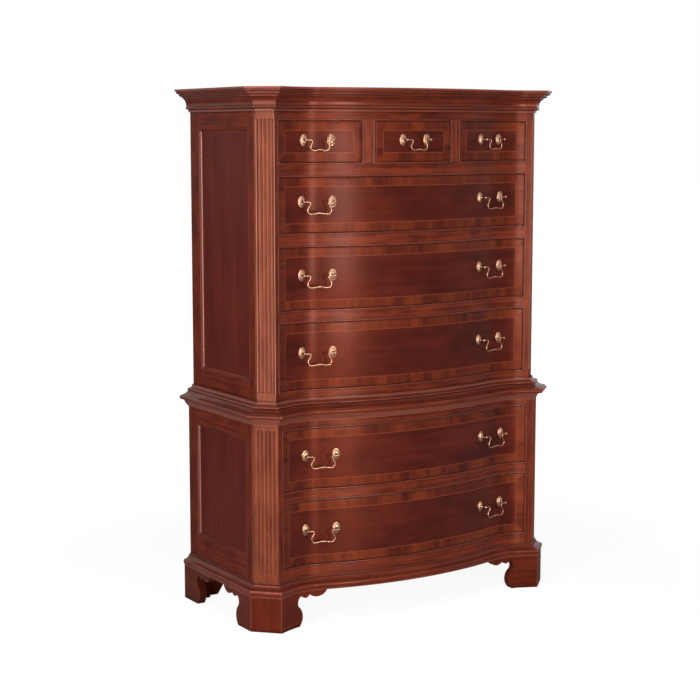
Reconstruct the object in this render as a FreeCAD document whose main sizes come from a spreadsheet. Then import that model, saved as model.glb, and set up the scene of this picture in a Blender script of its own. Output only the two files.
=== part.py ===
import FreeCAD, Part
import math
import os
import Sketcher

# A serpentine-fronted chest-on-chest with canted, fluted corners, bracket feet and swan-neck
# bail pulls.  Millimetres, +Z up, front towards -Y, origin at the bottom centre of the whole
# chest.  Every plan line of the carcass is one front outline set out or in by an offset: the
# face of the upper case is offset 0, the lower case, mouldings and feet stand outside it.

doc = FreeCAD.newDocument("serpentine_chest")
sheet = doc.addObject("Spreadsheet::Sheet", "Sizes")
sheet.Label = "Sizes"

UP = FreeCAD.Vector(0, 0, 1)
RIGHT = FreeCAD.Vector(1, 0, 0)
ORIGIN = FreeCAD.Vector(0, 0, 0)
PRECISION = 1e-6


class Length:
    """A length that carries its value and the expression that gives it in the sheet."""

    def __init__(self, text, value):
        self.text = text
        self.value = float(value)

    def __float__(self):
        return self.value

    def joined(self, other, sign, value):
        text = other.text if isinstance(other, Length) else repr(float(other))
        return Length("(%s %s %s)" % (self.text, sign, text), value)

    def __add__(self, other):
        return self.joined(other, "+", self.value + float(other))

    def __sub__(self, other):
        return self.joined(other, "-", self.value - float(other))

    def __mul__(self, other):
        return self.joined(other, "*", self.value * float(other))

    def __truediv__(self, other):
        return self.joined(other, "/", self.value / float(other))

    def __neg__(self):
        return Length("(-%s)" % self.text, -self.value)


def size(alias, value, note):
    """One driving dimension: a row of the sheet, and a Length to work with."""
    size.row += 1
    sheet.set("A%d" % size.row, note)
    sheet.set("B%d" % size.row, str(value))
    sheet.setAlias("B%d" % size.row, alias)
    return Length("Sizes." + alias, value)


size.row = 0


def fixed(value):
    """A length worked out in code, where its rule is more than a sum."""
    return Length(repr(float(value)), value)


# ------------------------------------------------------------------ driving dimensions
# plan of the front
case_half_width = size("case_half_width", 507, "half the width of the upper case")
crown_depth = size("crown_depth", 486, "back of the case to the crown of the front curve")
dip_depth = size("dip_depth", 430, "back of the case to the hollow of the front curve")
dip_inset = size("dip_inset", 137, "side of the case to the hollow")
dip_radius = size("dip_radius", 195, "radius of the hollow")
stile_angle = size("stile_angle", 24, "degrees: slant of the stile beside the hollow")
cant_width = size("cant_width", 36.5, "width of the canted corner, across or along the case")
lower_step = size("lower_step", 17.6, "lower case outside the upper case")
base_step = size("base_step", 22.1, "feet outside the lower case")
cornice_projection = size("cornice_projection", 52.3, "cornice tip outside the upper case")
waist_bead_projection = size("waist_bead_projection", 21.5, "bead moulding outside the upper case")
waist_nose_projection = size("waist_nose_projection", 31.3, "waist nosing outside the lower case")

# members of the cornice, from the top down: how tall each is and how far it steps in
crown_fillet = size("crown_fillet", 7, "top fillet, height")
crown_fillet_step = size("crown_fillet_step", 5.3, "top fillet in front of the round")
crown_round = size("crown_round", 7, "round under the fillet, height")
crown_round_step = size("crown_round_step", 6, "round, projection")
crown_quirk = size("crown_quirk", 1, "quirk, height")
crown_quirk_step = size("crown_quirk_step", 3, "quirk, projection")
crown_ovolo = size("crown_ovolo", 8, "ovolo, height")
crown_ovolo_step = size("crown_ovolo_step", 7, "ovolo, projection")
cove_fillet = size("cove_fillet", 2, "fillet over the cove, height")
cove_fillet_step = size("cove_fillet_step", 4, "fillet over the cove, projection")
crown_cove = size("crown_cove", 24, "cove, height")
crown_cove_step = size("crown_cove_step", 15, "cove, projection")
bead_fillet = size("bead_fillet", 3, "fillet over the bead, height")
bead_fillet_step = size("bead_fillet_step", 4, "fillet over the bead, projection")
crown_bead = size("crown_bead", 9, "bead, height")
crown_bead_step = size("crown_bead_step", 5, "bead in front of the band under it")
crown_band = size("crown_band", 7, "band under the bead, height")

# members of the waist and base mouldings
waist_bead = size("waist_bead", 8, "bead at the foot of the upper case, height")
waist_bead_round = size("waist_bead_round", 4, "bead, how far its round stands out")
waist_sweep = size("waist_sweep", 12, "sweep over the bead, height")
waist_sweep_step = size("waist_sweep_step", 10.5, "sweep, projection")
waist_bead_step = size("waist_bead_step", 4, "sweep behind the bead")
nose_round = size("nose_round", 14, "round of the waist nosing, height")
nose_round_depth = size("nose_round_depth", 6, "round of the waist nosing, projection")
nose_landing = size("nose_landing", 2, "top of the nosing inside the bead over it")
nose_board = size("nose_board", 18, "top of the lower case, thickness")
cove_height = size("cove_height", 17, "cove under the nosing")
cove_projection = size("cove_projection", 14, "cove under the nosing")
cove_edge = size("cove_edge", 3, "fillets over and under the cove")
base_fillet = size("base_fillet", 6, "lower fillet of the base moulding")
base_round = size("base_round", 14, "round of the base moulding, height")
base_round_step = size("base_round_step", 1, "round outside the feet")
base_quirk_step = size("base_quirk_step", 4, "quirk over the round")
base_sweep = size("base_sweep", 14, "sweep of the base moulding, height")
base_lip = size("base_lip", 5, "lip at the top of the base moulding, height")
base_lip_step = size("base_lip_step", 3, "sweep outside the lip")
base_lip_out = size("base_lip_out", 2, "lip outside the lower case")
base_inside = size("base_inside", 26, "base moulding behind the face of the lower case")

# how full the rounds and hollows are worked: rise of each arc as a share of its chord
HALF_ROUND = 0.5
FULL_OVOLO = 0.3
SOFT_OVOLO = 0.2
EASY_ROUND = 0.14
COVE = 0.17

# heights, from the floor up
foot_height = size("foot_height", 105, "floor to the underside of the base moulding")
base_height = size("base_height", 39, "base moulding")
bottom_rail_height = size("bottom_rail_height", 36, "rail over the base moulding")
drawer_height_8 = size("drawer_height_8", 195, "opening of the bottom drawer")
lower_rail_height = size("lower_rail_height", 37, "rail between the two lower drawers")
drawer_height_7 = size("drawer_height_7", 183, "opening of the top drawer of the lower case")
head_rail_height = size("head_rail_height", 45, "rail over the lower drawers, behind the cove")
waist_height = size("waist_height", 26, "nosing and top of the lower case")
sill_rail_height = size("sill_rail_height", 45, "bottom rail of the upper case")
drawer_height_6 = size("drawer_height_6", 199, "opening of the third long drawer")
rail_height_56 = size("rail_height_56", 39, "rail under the second long drawer")
drawer_height_5 = size("drawer_height_5", 185, "opening of the second long drawer")
rail_height_45 = size("rail_height_45", 42, "rail under the first long drawer")
drawer_height_4 = size("drawer_height_4", 164, "opening of the first long drawer")
rail_height_34 = size("rail_height_34", 42, "rail under the short drawers")
short_drawer_height = size("short_drawer_height", 122, "opening of the three short drawers")
frieze_height = size("frieze_height", 78, "frieze rail, partly behind the cornice")
top_thickness = size("top_thickness", 18, "top board")

# openings, boards and running fits
post_width = size("post_width", 57, "side of the case to the drawer openings")
divider_inner = size("divider_inner", 137.5, "centre line to the middle short drawer's opening edge")
divider_outer = size("divider_outer", 178, "centre line to the outer short drawers' opening edge")
front_gap = size("front_gap", 1.2, "gap round each drawer front")
running_gap = size("running_gap", 0.3, "running clearance under and beside each drawer")
rail_depth = size("rail_depth", 30, "straight back of the rails behind the hollow")
post_depth = size("post_depth", 15, "depth of the corner posts behind the cant")
side_thickness = size("side_thickness", 22, "side frames")
panel_thickness = size("panel_thickness", 8, "side panels")
panel_recess = size("panel_recess", 7, "side panels behind the face of their frames")
side_stile_width = size("side_stile_width", 55, "rear stiles of the side frames")
front_stile_width = size("front_stile_width", 35, "front stiles of the side frames, behind the post")
upper_side_top_rail = size("upper_side_top_rail", 102, "top rail of the upper side frames")
upper_side_bottom_rail = size("upper_side_bottom_rail", 73, "bottom rail of the upper side frames")
lower_side_top_rail = size("lower_side_top_rail", 70, "top rail of the lower side frames")
lower_side_bottom_rail = size("lower_side_bottom_rail", 66, "bottom rail of the lower side frames")
back_thickness = size("back_thickness", 8, "back panels")
dust_thickness = size("dust_thickness", 14, "dust panels that carry the drawers")

# drawers
drawer_front_thickness = size("drawer_front_thickness", 24, "drawer fronts")
drawer_lap = size("drawer_lap", 9, "wood left in front of the drawer sides' ends")
drawer_side_thickness = size("drawer_side_thickness", 12, "drawer sides and backs")
drawer_bottom_thickness = size("drawer_bottom_thickness", 7, "drawer bottoms")
drawer_bottom_lift = size("drawer_bottom_lift", 11, "under the drawer bottoms")
drawer_side_drop = size("drawer_side_drop", 10, "drawer sides below the top of the front")
drawer_back_gap = size("drawer_back_gap", 22, "drawer back to the back of the case")
guide_height = size("guide_height", 20, "guides beside the drawers")
stop_length = size("stop_length", 30, "drawer stops, along the rail")
stop_depth = size("stop_depth", 16, "drawer stops, front to back")
stop_height = size("stop_height", 6, "drawer stops")

# pulls
pull_spacing = size("pull_spacing", 96, "between the posts of the large pulls")
short_pull_spacing = size("short_pull_spacing", 85, "between the posts of the small pulls")
pull_inset = size("pull_inset", 190.5, "side of the case to the middle of a large pull")
pull_rise = size("pull_rise", 10, "pull axis above the middle of the drawer front")
short_pull_rise = size("short_pull_rise", 5, "the same on the short drawers")
rosette_radius = size("rosette_radius", 17, "domed rosettes")
rosette_height = size("rosette_height", 7, "domed rosettes")
rosette_crown = size("rosette_crown", 7, "flat crown of the rosettes, as a radius")
post_radius = size("post_radius", 3.6, "pull posts")
post_head_radius = size("post_head_radius", 5.2, "heads of the pull posts")
post_head_length = size("post_head_length", 9, "heads of the pull posts")
bail_stand = size("bail_stand", 25, "bail axis in front of the drawer face")
bail_bar = size("bail_bar", 4, "thickness of the bail")
bail_clearance = size("bail_clearance", 0.3, "bail ends in the holes of the posts")
bail_neck_half = size("bail_neck_half", 28, "centre to the neck of a large bail")
bail_drop = size("bail_drop", 37, "bail axis to its lowest bar")
bail_lean = size("bail_lean", 30, "degrees: shanks of the bails out of the upright")
bail_throat = size("bail_throat", 5, "radius of the swan necks")
bail_corner = size("bail_corner", 11, "radius of the lower corners of the bails")
short_bail_neck_half = size("short_bail_neck_half", 22.5, "centre to the neck of a small bail")
short_bail_drop = size("short_bail_drop", 31, "small bail axis to its lowest bar")

# flutes and feet
flute_width = size("flute_width", 6.4, "flutes of the corner posts")
flute_pitch = size("flute_pitch", 9.4, "between flutes")
flute_depth = size("flute_depth", 2.4, "flutes of the corner posts")
flute_margin = size("flute_margin", 24, "plain block over and under the flutes")
bracket_thickness = size("bracket_thickness", 24, "boards of the bracket feet")
foot_reach = size("foot_reach", 79, "corner of a foot to its inner edge at the floor")
bracket_reach = size("bracket_reach", 171, "corner of a foot to the end of its bracket")
rear_foot_reach = size("rear_foot_reach", 90, "rear foot along the side at the floor")
foot_swell = size("foot_swell", 13, "belly of a foot beyond its edge at the floor")
foot_waist = size("foot_waist", 6, "neck of a foot inside its edge at the floor")
neck_return = size("neck_return", 10, "first cusp of the bracket beyond the foot's edge at the floor")
lobe_drop = size("lobe_drop", 10, "lobes of the bracket below their cusps")
small_lobe = size("small_lobe", 27, "length of the small lobe of the bracket")
cusp_drop = size("cusp_drop", 10, "cusps of the bracket below the base moulding")
rear_board_reach = size("rear_board_reach", 106, "rear boards of the rear feet, at the floor")
rear_board_slant = size("rear_board_slant", 69, "how far their ends slant out to the top")
foot_belly_height = size("foot_belly_height", 31, "widest part of a foot's belly")
foot_throat_height = size("foot_throat_height", 63, "a foot's edge between belly and neck")
foot_neck_height = size("foot_neck_height", 76, "neck of a foot")
glue_block = size("glue_block", 36, "square of the blocks inside the feet")
glue_block_lift = size("glue_block_lift", 5, "glue blocks clear of the floor")

doc.recompute()

# ------------------------------------------------------------------ places that follow
overall_depth = crown_depth + cornice_projection
back_y = overall_depth / 2
base_offset = lower_step + base_step
opening_half_width = case_half_width - post_width
dip_offset = case_half_width - dip_inset
pull_offset = case_half_width - pull_inset
nose_offset = lower_step + waist_nose_projection

z_base = foot_height
z_lower_case = z_base + base_height
z_drawer_8 = z_lower_case + bottom_rail_height
z_lower_rail = z_drawer_8 + drawer_height_8
z_drawer_7 = z_lower_rail + lower_rail_height
z_head_rail = z_drawer_7 + drawer_height_7
z_waist = z_head_rail + head_rail_height
z_upper_case = z_waist + waist_height
z_drawer_6 = z_upper_case + sill_rail_height
z_rail_56 = z_drawer_6 + drawer_height_6
z_drawer_5 = z_rail_56 + rail_height_56
z_rail_45 = z_drawer_5 + drawer_height_5
z_drawer_4 = z_rail_45 + rail_height_45
z_rail_34 = z_drawer_4 + drawer_height_4
z_short_drawers = z_rail_34 + rail_height_34
z_frieze = z_short_drawers + short_drawer_height
z_top = z_frieze + frieze_height
z_overall = z_top + top_thickness

swing = math.radians(float(stile_angle))
hollow = float(crown_depth) - float(dip_depth)
radii_sum = (float(dip_offset) ** 2 + hollow ** 2) / (2 * hollow)
crown_radius = radii_sum - float(dip_radius)
inflection = math.asin(float(dip_offset) / radii_sum)
crown_centre = FreeCAD.Vector(0, float(back_y) - float(crown_depth) + crown_radius, 0)
dip_centre = FreeCAD.Vector(float(dip_offset), float(back_y) - float(dip_depth) - float(dip_radius), 0)
crown_radius_text = ("((" + dip_offset.text + " ^ 2 + (Sizes.crown_depth - Sizes.dip_depth) ^ 2)"
                     " / (2 * (Sizes.crown_depth - Sizes.dip_depth)) - Sizes.dip_radius)")


def on_crown(angle, offset):
    radius = crown_radius + float(offset)
    return crown_centre + FreeCAD.Vector(radius * math.sin(angle), -radius * math.cos(angle), 0)


def on_dip(angle, offset):
    radius = float(dip_radius) - float(offset)
    return dip_centre + FreeCAD.Vector(radius * math.sin(angle), radius * math.cos(angle), 0)


def on_stile(x, offset):
    start = on_dip(swing, offset)
    return FreeCAD.Vector(x, start.y - (x - start.x) * math.tan(swing), 0)


def front_point(x, offset):
    """The point of the front outline at x, set out by offset."""
    reach = abs(float(x))
    if reach < on_crown(inflection, offset).x:
        point = on_crown(math.asin(reach / (crown_radius + float(offset))), offset)
    elif reach < on_dip(swing, offset).x:
        radius = float(dip_radius) - float(offset)
        point = on_dip(math.asin((reach - float(dip_offset)) / radius), offset)
    else:
        point = on_stile(reach, offset)
    return FreeCAD.Vector(float(x), point.y, 0)


def front_slope(x):
    """Slope angle of the front outline at x: how far its tangent turns from +X towards +Y."""
    reach = abs(float(x))
    if reach < on_crown(inflection, 0).x:
        turn = math.asin(reach / crown_radius)
    elif reach < on_dip(swing, 0).x:
        turn = -math.asin((reach - float(dip_offset)) / float(dip_radius))
    else:
        turn = -swing
    return math.copysign(turn, turn * float(x)) if x else 0.0


def facing(angle):
    """The outward direction where the outline's tangent has turned by angle."""
    return FreeCAD.Vector(math.sin(angle), -math.cos(angle), 0)


def corner_points(offset):
    """The two breaks of the right-hand canted corner, set out by offset."""
    shift = float(offset)
    start = on_dip(swing, offset)
    inner = float(case_half_width) - float(cant_width)
    inner_y = on_stile(inner, 0).y
    # the cant lies at 45 degrees: y = x + level
    level = inner_y - inner - shift * math.sqrt(2)
    slope = -math.tan(swing)
    x = (start.y - slope * start.x - level) / (1 - slope)
    front_break = FreeCAD.Vector(x, x + level, 0)
    side = float(case_half_width) + shift
    side_break = FreeCAD.Vector(side, side + level, 0)
    return front_break, side_break


# ------------------------------------------------------------------ building helpers
def bind(thing, path, length):
    thing.setExpression(path, length.text if isinstance(length, Length) else repr(float(length)))


def board(name, x_span, y_span, z_span):
    """A flat board between two x, two y and two z, each a Length."""
    box = doc.addObject("Part::Box", name)
    for edge, axis, (low, high) in (("Length", "x", x_span), ("Width", "y", y_span),
                                    ("Height", "z", z_span)):
        bind(box, edge, high - low)
        bind(box, ".Placement.Base." + axis, low)
    return box


def boolean(kind, name, base, tool):
    result = doc.addObject("Part::" + kind, name)
    result.Base = base
    result.Tool = tool
    return result


def mirrored(name, source):
    copy = doc.addObject("Part::Mirroring", name)
    copy.Source = source
    copy.Normal = RIGHT
    return copy


def group(name, members):
    bundle = doc.addObject("Part::Compound", name)
    bundle.Links = members
    return bundle


def feature(name, shape):
    item = doc.addObject("Part::Feature", name)
    item.Shape = shape
    return item


def origin_plane(body, role):
    return [item for item in body.Origin.OriginFeatures if item.Role == role][0]


NODES = []


def node(name, item):
    """Hands one finished sub-part over for export under its name."""
    item.Label = name
    NODES.append(item)
    return item


# ------------------------------------------------------------------ the serpentine plates
def serpentine_plate(name, offset):
    """A body as tall as the chest whose front edge is the outline set out by offset."""
    body = doc.addObject("PartDesign::Body", name)
    sketch = body.newObject("Sketcher::SketchObject", name + "_plan")
    sketch.AttachmentSupport = [(origin_plane(body, "XY_Plane"), "")]
    sketch.MapMode = "FlatFace"
    reach = float(case_half_width) + float(base_offset)
    end = on_stile(reach, offset)
    arc_end = on_dip(swing, offset)
    middle = on_dip(-inflection, offset)

    def left(point):
        return FreeCAD.Vector(-point.x, point.y, point.z)

    def arc(centre, radius, start, stop):
        circle = Part.Circle(centre, UP, radius)
        return Part.ArcOfCircle(circle, start, stop)

    quarter = math.pi / 2
    dip = float(dip_radius) - float(offset)
    back = float(back_y)
    geometry = [
        Part.LineSegment(left(end), left(arc_end)),
        arc(left(dip_centre), dip, quarter - inflection, quarter + swing),
        arc(crown_centre, crown_radius + float(offset), 3 * quarter - inflection,
            3 * quarter + inflection),
        arc(dip_centre, dip, quarter - swing, quarter + inflection),
        Part.LineSegment(arc_end, end),
        Part.LineSegment(end, FreeCAD.Vector(reach, back, 0)),
        Part.LineSegment(FreeCAD.Vector(reach, back, 0), FreeCAD.Vector(-reach, back, 0)),
        Part.LineSegment(FreeCAD.Vector(-reach, back, 0), left(end)),
    ]
    sketch.addGeometry(geometry, False)
    rule = Sketcher.Constraint
    start, stop, centre, root, upright = 1, 2, 3, -1, -2
    sketch.addConstraint([
        rule("Tangent", 0, stop, 1, stop),
        rule("Tangent", 1, start, 2, start),
        rule("Tangent", 2, stop, 3, stop),
        rule("Tangent", 3, start, 4, start),
        rule("Coincident", 4, stop, 5, start),
        rule("Coincident", 5, stop, 6, start),
        rule("Coincident", 6, stop, 7, start),
        rule("Coincident", 7, stop, 0, start),
        rule("Vertical", 5),
        rule("PointOnObject", 2, centre, upright),
        rule("Symmetric", 1, centre, 3, centre, upright),
        rule("Symmetric", 0, start, 4, stop, upright),
        rule("Symmetric", 6, start, 6, stop, upright),
    ])

    def driven(kind, places, value, expression):
        index = sketch.addConstraint(rule(kind, *places, value))
        sketch.setExpression("Constraints[%d]" % index, expression)

    driven("Radius", (2,), crown_radius + float(offset), crown_radius_text + " + " + offset.text)
    driven("Radius", (3,), dip, (dip_radius - offset).text)
    driven("DistanceX", (root, start, 3, centre), float(dip_offset), dip_offset.text)
    driven("DistanceY", (3, centre, root, start), -dip_centre.y,
           (dip_depth + dip_radius - back_y).text)
    driven("DistanceX", (root, start, 6, start), reach, (case_half_width + base_offset).text)
    driven("DistanceY", (root, start, 6, start), back, back_y.text)
    index = sketch.addConstraint(rule("Angle", 4, -swing))
    sketch.setExpression("Constraints[%d]" % index, "-1 deg * " + stile_angle.text)
    pad = body.newObject("PartDesign::Pad", name + "_pad")
    pad.Profile = sketch
    bind(pad, "Length", z_overall)
    body.Tip = pad
    return body


case_offset = fixed(0)
plate = {}
for label, offset in (
    ("upper_face", case_offset),
    ("lower_face", lower_step),
    ("foot_face", base_offset),
    ("foot_inside", base_offset - bracket_thickness),
):
    plate[label] = serpentine_plate("plate_" + label, offset)
doc.recompute()


# ------------------------------------------------------------------ mouldings round the case
round_flats = 2
cove_flats = 3


class Profile:
    """A moulding section walked from member to member: out is the offset, up is the height."""

    def __init__(self, out, up):
        self.start = self.pen = FreeCAD.Vector(float(out), 0, float(up))
        self.edges = []

    def to(self, end):
        self.edges.append(Part.makeLine(self.pen, end))
        self.pen = end
        return self

    def step(self, out, up):
        return self.to(self.pen + FreeCAD.Vector(float(out), 0, float(up)))

    def arc(self, out, up, bulge, flats=round_flats):
        """A round worked in flats, bulging to the left of its way by bulge times its chord."""
        way = FreeCAD.Vector(float(out), 0, float(up))
        end = self.pen + way
        middle = self.pen + way * 0.5 + FreeCAD.Vector(-way.z, 0, way.x) * bulge
        for point in Part.Arc(self.pen, middle, end).toShape().discretize(flats + 1)[1:]:
            self.to(point)
        return self

    def face(self, back):
        """The closed section, brought back to its inner face first."""
        if abs(self.pen.x - float(back)) > PRECISION:
            self.to(FreeCAD.Vector(float(back), 0, self.pen.z))
        self.to(self.start)
        return Part.Face(Part.Wire(self.edges))


def set_up(section, point, direction):
    """The section stood at a plan point of offset 0 with its out axis along direction."""
    turn = FreeCAD.Rotation(RIGHT, direction)
    placed = section.copy()
    placed.Placement = FreeCAD.Placement(point, turn)
    return placed


def run(section, point, direction, along, near, far):
    """A straight run of moulding through point, from near behind it to far beyond it."""
    placed = set_up(section, point - along * near, direction)
    return placed.extrude(along * (near + far))


def half_space(point, normal, reach):
    """The side of an upright plane through point that normal points away from."""
    block = Part.makeBox(reach, 2 * reach, 2 * reach)
    block.translate(FreeCAD.Vector(-reach, -reach, -reach / 4))
    block.Placement = FreeCAD.Placement(point, FreeCAD.Rotation(RIGHT, normal)).multiply(
        block.Placement)
    return block


def front_run(section):
    """The section swept along the whole curved front, with its straight stiles run on."""
    degrees = math.degrees
    crown = set_up(section, on_crown(-inflection, 0), facing(-inflection))
    crown = crown.revolve(crown_centre, UP, 2 * degrees(inflection))
    dip = set_up(section, on_dip(-inflection, 0), facing(inflection))
    dip = dip.revolve(dip_centre, UP, -degrees(inflection + swing))
    return crown, dip


def moulding_round(section):
    """The section swept round both sides, both cants and the front, mitred at each corner."""
    crown, dip = front_run(section)
    front_break, side_break = corner_points(0)
    stile_start = on_dip(swing, 0)
    stile_way = (front_break - stile_start).normalize()
    cant_way = (side_break - front_break).normalize()
    side_way = FreeCAD.Vector(0, 1, 0)
    spare = 4 * float(waist_nose_projection) + float(cornice_projection)
    reach = 2 * float(overall_depth)

    def outward(way):
        return FreeCAD.Vector(way.y, -way.x, 0)

    front_mitre = (stile_way + cant_way).normalize()
    side_mitre = (cant_way + side_way).normalize()
    stile = run(section, front_break, outward(stile_way), stile_way,
                (front_break - stile_start).Length, spare)
    stile = stile.common(half_space(front_break, front_mitre, reach))
    cant = run(section, front_break, outward(cant_way), cant_way, spare,
               (side_break - front_break).Length + spare)
    cant = cant.cut(half_space(front_break, front_mitre, reach))
    cant = cant.common(half_space(side_break, side_mitre, reach))
    back_length = float(back_y) - side_break.y
    side = run(section, side_break, outward(side_way), side_way, spare, back_length)
    side = side.cut(half_space(side_break, side_mitre, reach))
    half = [dip, stile, cant, side]
    other = [piece.mirror(ORIGIN, RIGHT) for piece in half]
    whole = crown.multiFuse(half + other)
    return whole.removeSplitter()


def cornice_section():
    section = Profile(0, z_overall)
    section.step(cornice_projection, 0).step(0, -crown_fillet).step(-crown_fillet_step, 0)
    section.arc(-crown_round_step, -crown_round, FULL_OVOLO)
    section.step(-crown_quirk_step, -crown_quirk)
    section.arc(-crown_ovolo_step, -crown_ovolo, FULL_OVOLO)
    section.step(-cove_fillet_step, -cove_fillet)
    section.arc(-crown_cove_step, -crown_cove, -COVE, cove_flats)
    section.step(-bead_fillet_step, -bead_fillet)
    section.arc(0, -crown_bead, HALF_ROUND)
    section.step(-crown_bead_step, 0).step(0, -crown_band)
    return section.face(0)


def waist_bead_section():
    section = Profile(0, z_upper_case)
    section.step(waist_bead_projection - waist_bead_round, 0)
    section.arc(0, waist_bead, -HALF_ROUND)
    section.step(-waist_bead_step, 0)
    section.arc(-waist_sweep_step, waist_sweep, SOFT_OVOLO)
    return section.face(0)


def waist_nose_section():
    flat = nose_offset - nose_round_depth
    rise = waist_height - nose_round
    section = Profile(0, z_upper_case - nose_board)
    section.step(lower_step + cove_projection + cove_edge, z_waist - z_upper_case + nose_board)
    section.step(flat - lower_step - cove_projection - cove_edge, 0)
    section.arc(0, nose_round, -HALF_ROUND)
    section.arc(waist_bead_projection - nose_landing - flat, rise, EASY_ROUND)
    return section.face(0)


def waist_cove_section():
    section = Profile(lower_step, z_waist - cove_height - cove_edge * 2)
    section.step(cove_edge, 0).step(0, cove_edge)
    section.arc(cove_projection, cove_height, COVE, cove_flats)
    section.step(0, cove_edge)
    return section.face(lower_step)


def base_section():
    inner = lower_step - base_inside
    section = Profile(inner, z_base)
    section.step(base_offset - inner, 0).step(0, base_fillet).step(base_round_step, 0)
    section.arc(0, base_round, -EASY_ROUND)
    section.step(-base_quirk_step, 0)
    sweep_end = lower_step + base_lip_out + base_lip_step
    sweep_start = base_offset + base_round_step - base_quirk_step
    section.arc(sweep_end - sweep_start, base_sweep, EASY_ROUND)
    section.step(-base_lip_step, 0).step(0, base_lip)
    return section.face(inner)


node("cornice", feature("cornice_moulding", moulding_round(cornice_section())))
waist = [feature("waist_" + label, moulding_round(section())) for label, section in
         (("bead", waist_bead_section), ("cove", waist_cove_section))]
node("waist_mouldings", group("waist_group", waist))
node("base_moulding", group("base_group", [
    feature("base_ring", moulding_round(base_section())),
    board("base_back_rail", (-case_half_width, case_half_width), (back_y - side_thickness, back_y),
          (z_base, z_lower_case)),
]))

# ------------------------------------------------------------------ top board and waist board
def plan_slab(offset, low, high):
    """A flat slab with the case's whole plan set out by offset."""
    front_break, side_break = corner_points(offset)
    back = float(back_y)
    edges = []
    half = [front_point(0, offset)]
    crown_end = on_crown(inflection, offset)
    edges.append(Part.Arc(on_crown(-inflection, offset), half[0], crown_end).toShape())
    dip_end = on_dip(swing, offset)
    right = [Part.Arc(crown_end, on_dip(0, offset), dip_end).toShape()]
    stops = [dip_end, front_break, side_break, FreeCAD.Vector(side_break.x, back, 0)]
    right += [Part.makeLine(start, stop) for start, stop in zip(stops, stops[1:])]
    left = [edge.mirror(ORIGIN, RIGHT) for edge in right]
    closing = Part.makeLine(stops[-1], FreeCAD.Vector(-side_break.x, back, 0))
    wire = Part.Wire(Part.__sortEdges__(edges + right + left + [closing]))
    slab = Part.Face(wire).extrude(UP * (float(high) - float(low)))
    slab.translate(UP * float(low))
    return slab


node("top_board", feature("top_slab", plan_slab(0, z_top, z_overall)))
waist_board = plan_slab(0, z_upper_case - nose_board, z_upper_case)
waist_board = waist_board.fuse(moulding_round(waist_nose_section())).removeSplitter()
node("lower_top_board", feature("lower_top", waist_board))

# ------------------------------------------------------------------ front rails
whole_depth = (-back_y - base_offset, back_y)


class Opening:
    """One drawer opening of the front."""

    def __init__(self, name, case, offset, x_span, z_span):
        self.name = name
        self.case = case
        self.offset = offset
        self.x_span = x_span
        self.z_span = z_span


full = (-opening_half_width, opening_half_width)
short_heights = (z_short_drawers, z_frieze)
openings = [
    Opening("1", "upper", case_offset, (-opening_half_width, -divider_outer), short_heights),
    Opening("2", "upper", case_offset, (-divider_inner, divider_inner), short_heights),
    Opening("3", "upper", case_offset, (divider_outer, opening_half_width), short_heights),
    Opening("4", "upper", case_offset, full, (z_drawer_4, z_rail_34)),
    Opening("5", "upper", case_offset, full, (z_drawer_5, z_rail_45)),
    Opening("6", "upper", case_offset, full, (z_drawer_6, z_rail_56)),
    Opening("7", "lower", lower_step, full, (z_drawer_7, z_head_rail)),
    Opening("8", "lower", lower_step, full, (z_drawer_8, z_lower_rail)),
]

rail_back = back_y - dip_depth + rail_depth


def front_rail(name, case, low, high, x_span=full):
    stock = board(name + "_stock", x_span, (whole_depth[0], rail_back), (low, high))
    return boolean("Common", name, stock, plate[case + "_face"])


node("upper_front_rails", group("upper_rail_group", [
    front_rail("frieze_rail", "upper", z_frieze, z_top),
    front_rail("rail_34", "upper", z_rail_34, z_short_drawers),
    front_rail("rail_45", "upper", z_rail_45, z_drawer_4),
    front_rail("rail_56", "upper", z_rail_56, z_drawer_5),
    front_rail("sill_rail", "upper", z_upper_case, z_drawer_6),
]))
node("lower_front_rails", group("lower_rail_group", [
    front_rail("head_rail", "lower", z_head_rail, z_waist),
    front_rail("lower_rail", "lower", z_lower_rail, z_drawer_7),
    front_rail("bottom_rail", "lower", z_lower_case, z_drawer_8),
]))
dividers = [front_rail("divider_right", "upper", z_short_drawers, z_frieze,
                       (divider_inner, divider_outer))]
dividers.append(mirrored("divider_left", dividers[0]))
node("short_drawer_dividers", group("divider_group", dividers))

# ------------------------------------------------------------------ corner posts with flutes
cosine = math.cos(math.pi / 4)


def corner_post(case, offset, low, high):
    """The right-hand post: a block under the stile, cut to the cant and fluted."""
    side = case_half_width + offset
    front_break, side_break = corner_points(offset)
    depth = fixed(side_break.y) + post_depth
    block = board(case + "_post_block", (opening_half_width, side), (whole_depth[0], depth), (low, high))
    stock = boolean("Common", case + "_post_stock", block, plate[case + "_face"])
    waste = doc.addObject("Part::Box", case + "_cant_waste")
    for edge in ("Length", "Width"):
        bind(waste, edge, case_half_width)
    bind(waste, "Height", high - low)
    turn = FreeCAD.Rotation(UP, -45)
    middle = (front_break + side_break) * 0.5
    start = middle - turn.multVec(FreeCAD.Vector(0, float(case_half_width) / 2, 0))
    waste.Placement = FreeCAD.Placement(start + UP * float(low), turn)
    post = boolean("Cut", case + "_post_plain", stock, waste)
    radius = (flute_width * flute_width / 4 + flute_depth * flute_depth) / (flute_depth * 2)
    lift = float(radius) - float(flute_depth)
    flutes = []
    for step in range(-2, 3):
        flute = doc.addObject("Part::Prism", "%s_flute_%d" % (case, step + 3))
        flute.Polygon = 6
        bind(flute, "Circumradius", radius)
        bind(flute, "Height", high - low - flute_margin * 2)
        along = float(flute_pitch) * step
        centre = middle + FreeCAD.Vector(along + lift, along - lift, 0) * cosine
        flute.Placement = FreeCAD.Placement(centre + UP * (float(low) + float(flute_margin)),
                                            FreeCAD.Rotation(UP, 15))
        flutes.append(flute)
    tool = group(case + "_flutes", flutes)
    return boolean("Cut", case + "_post_right", post, tool)


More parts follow.
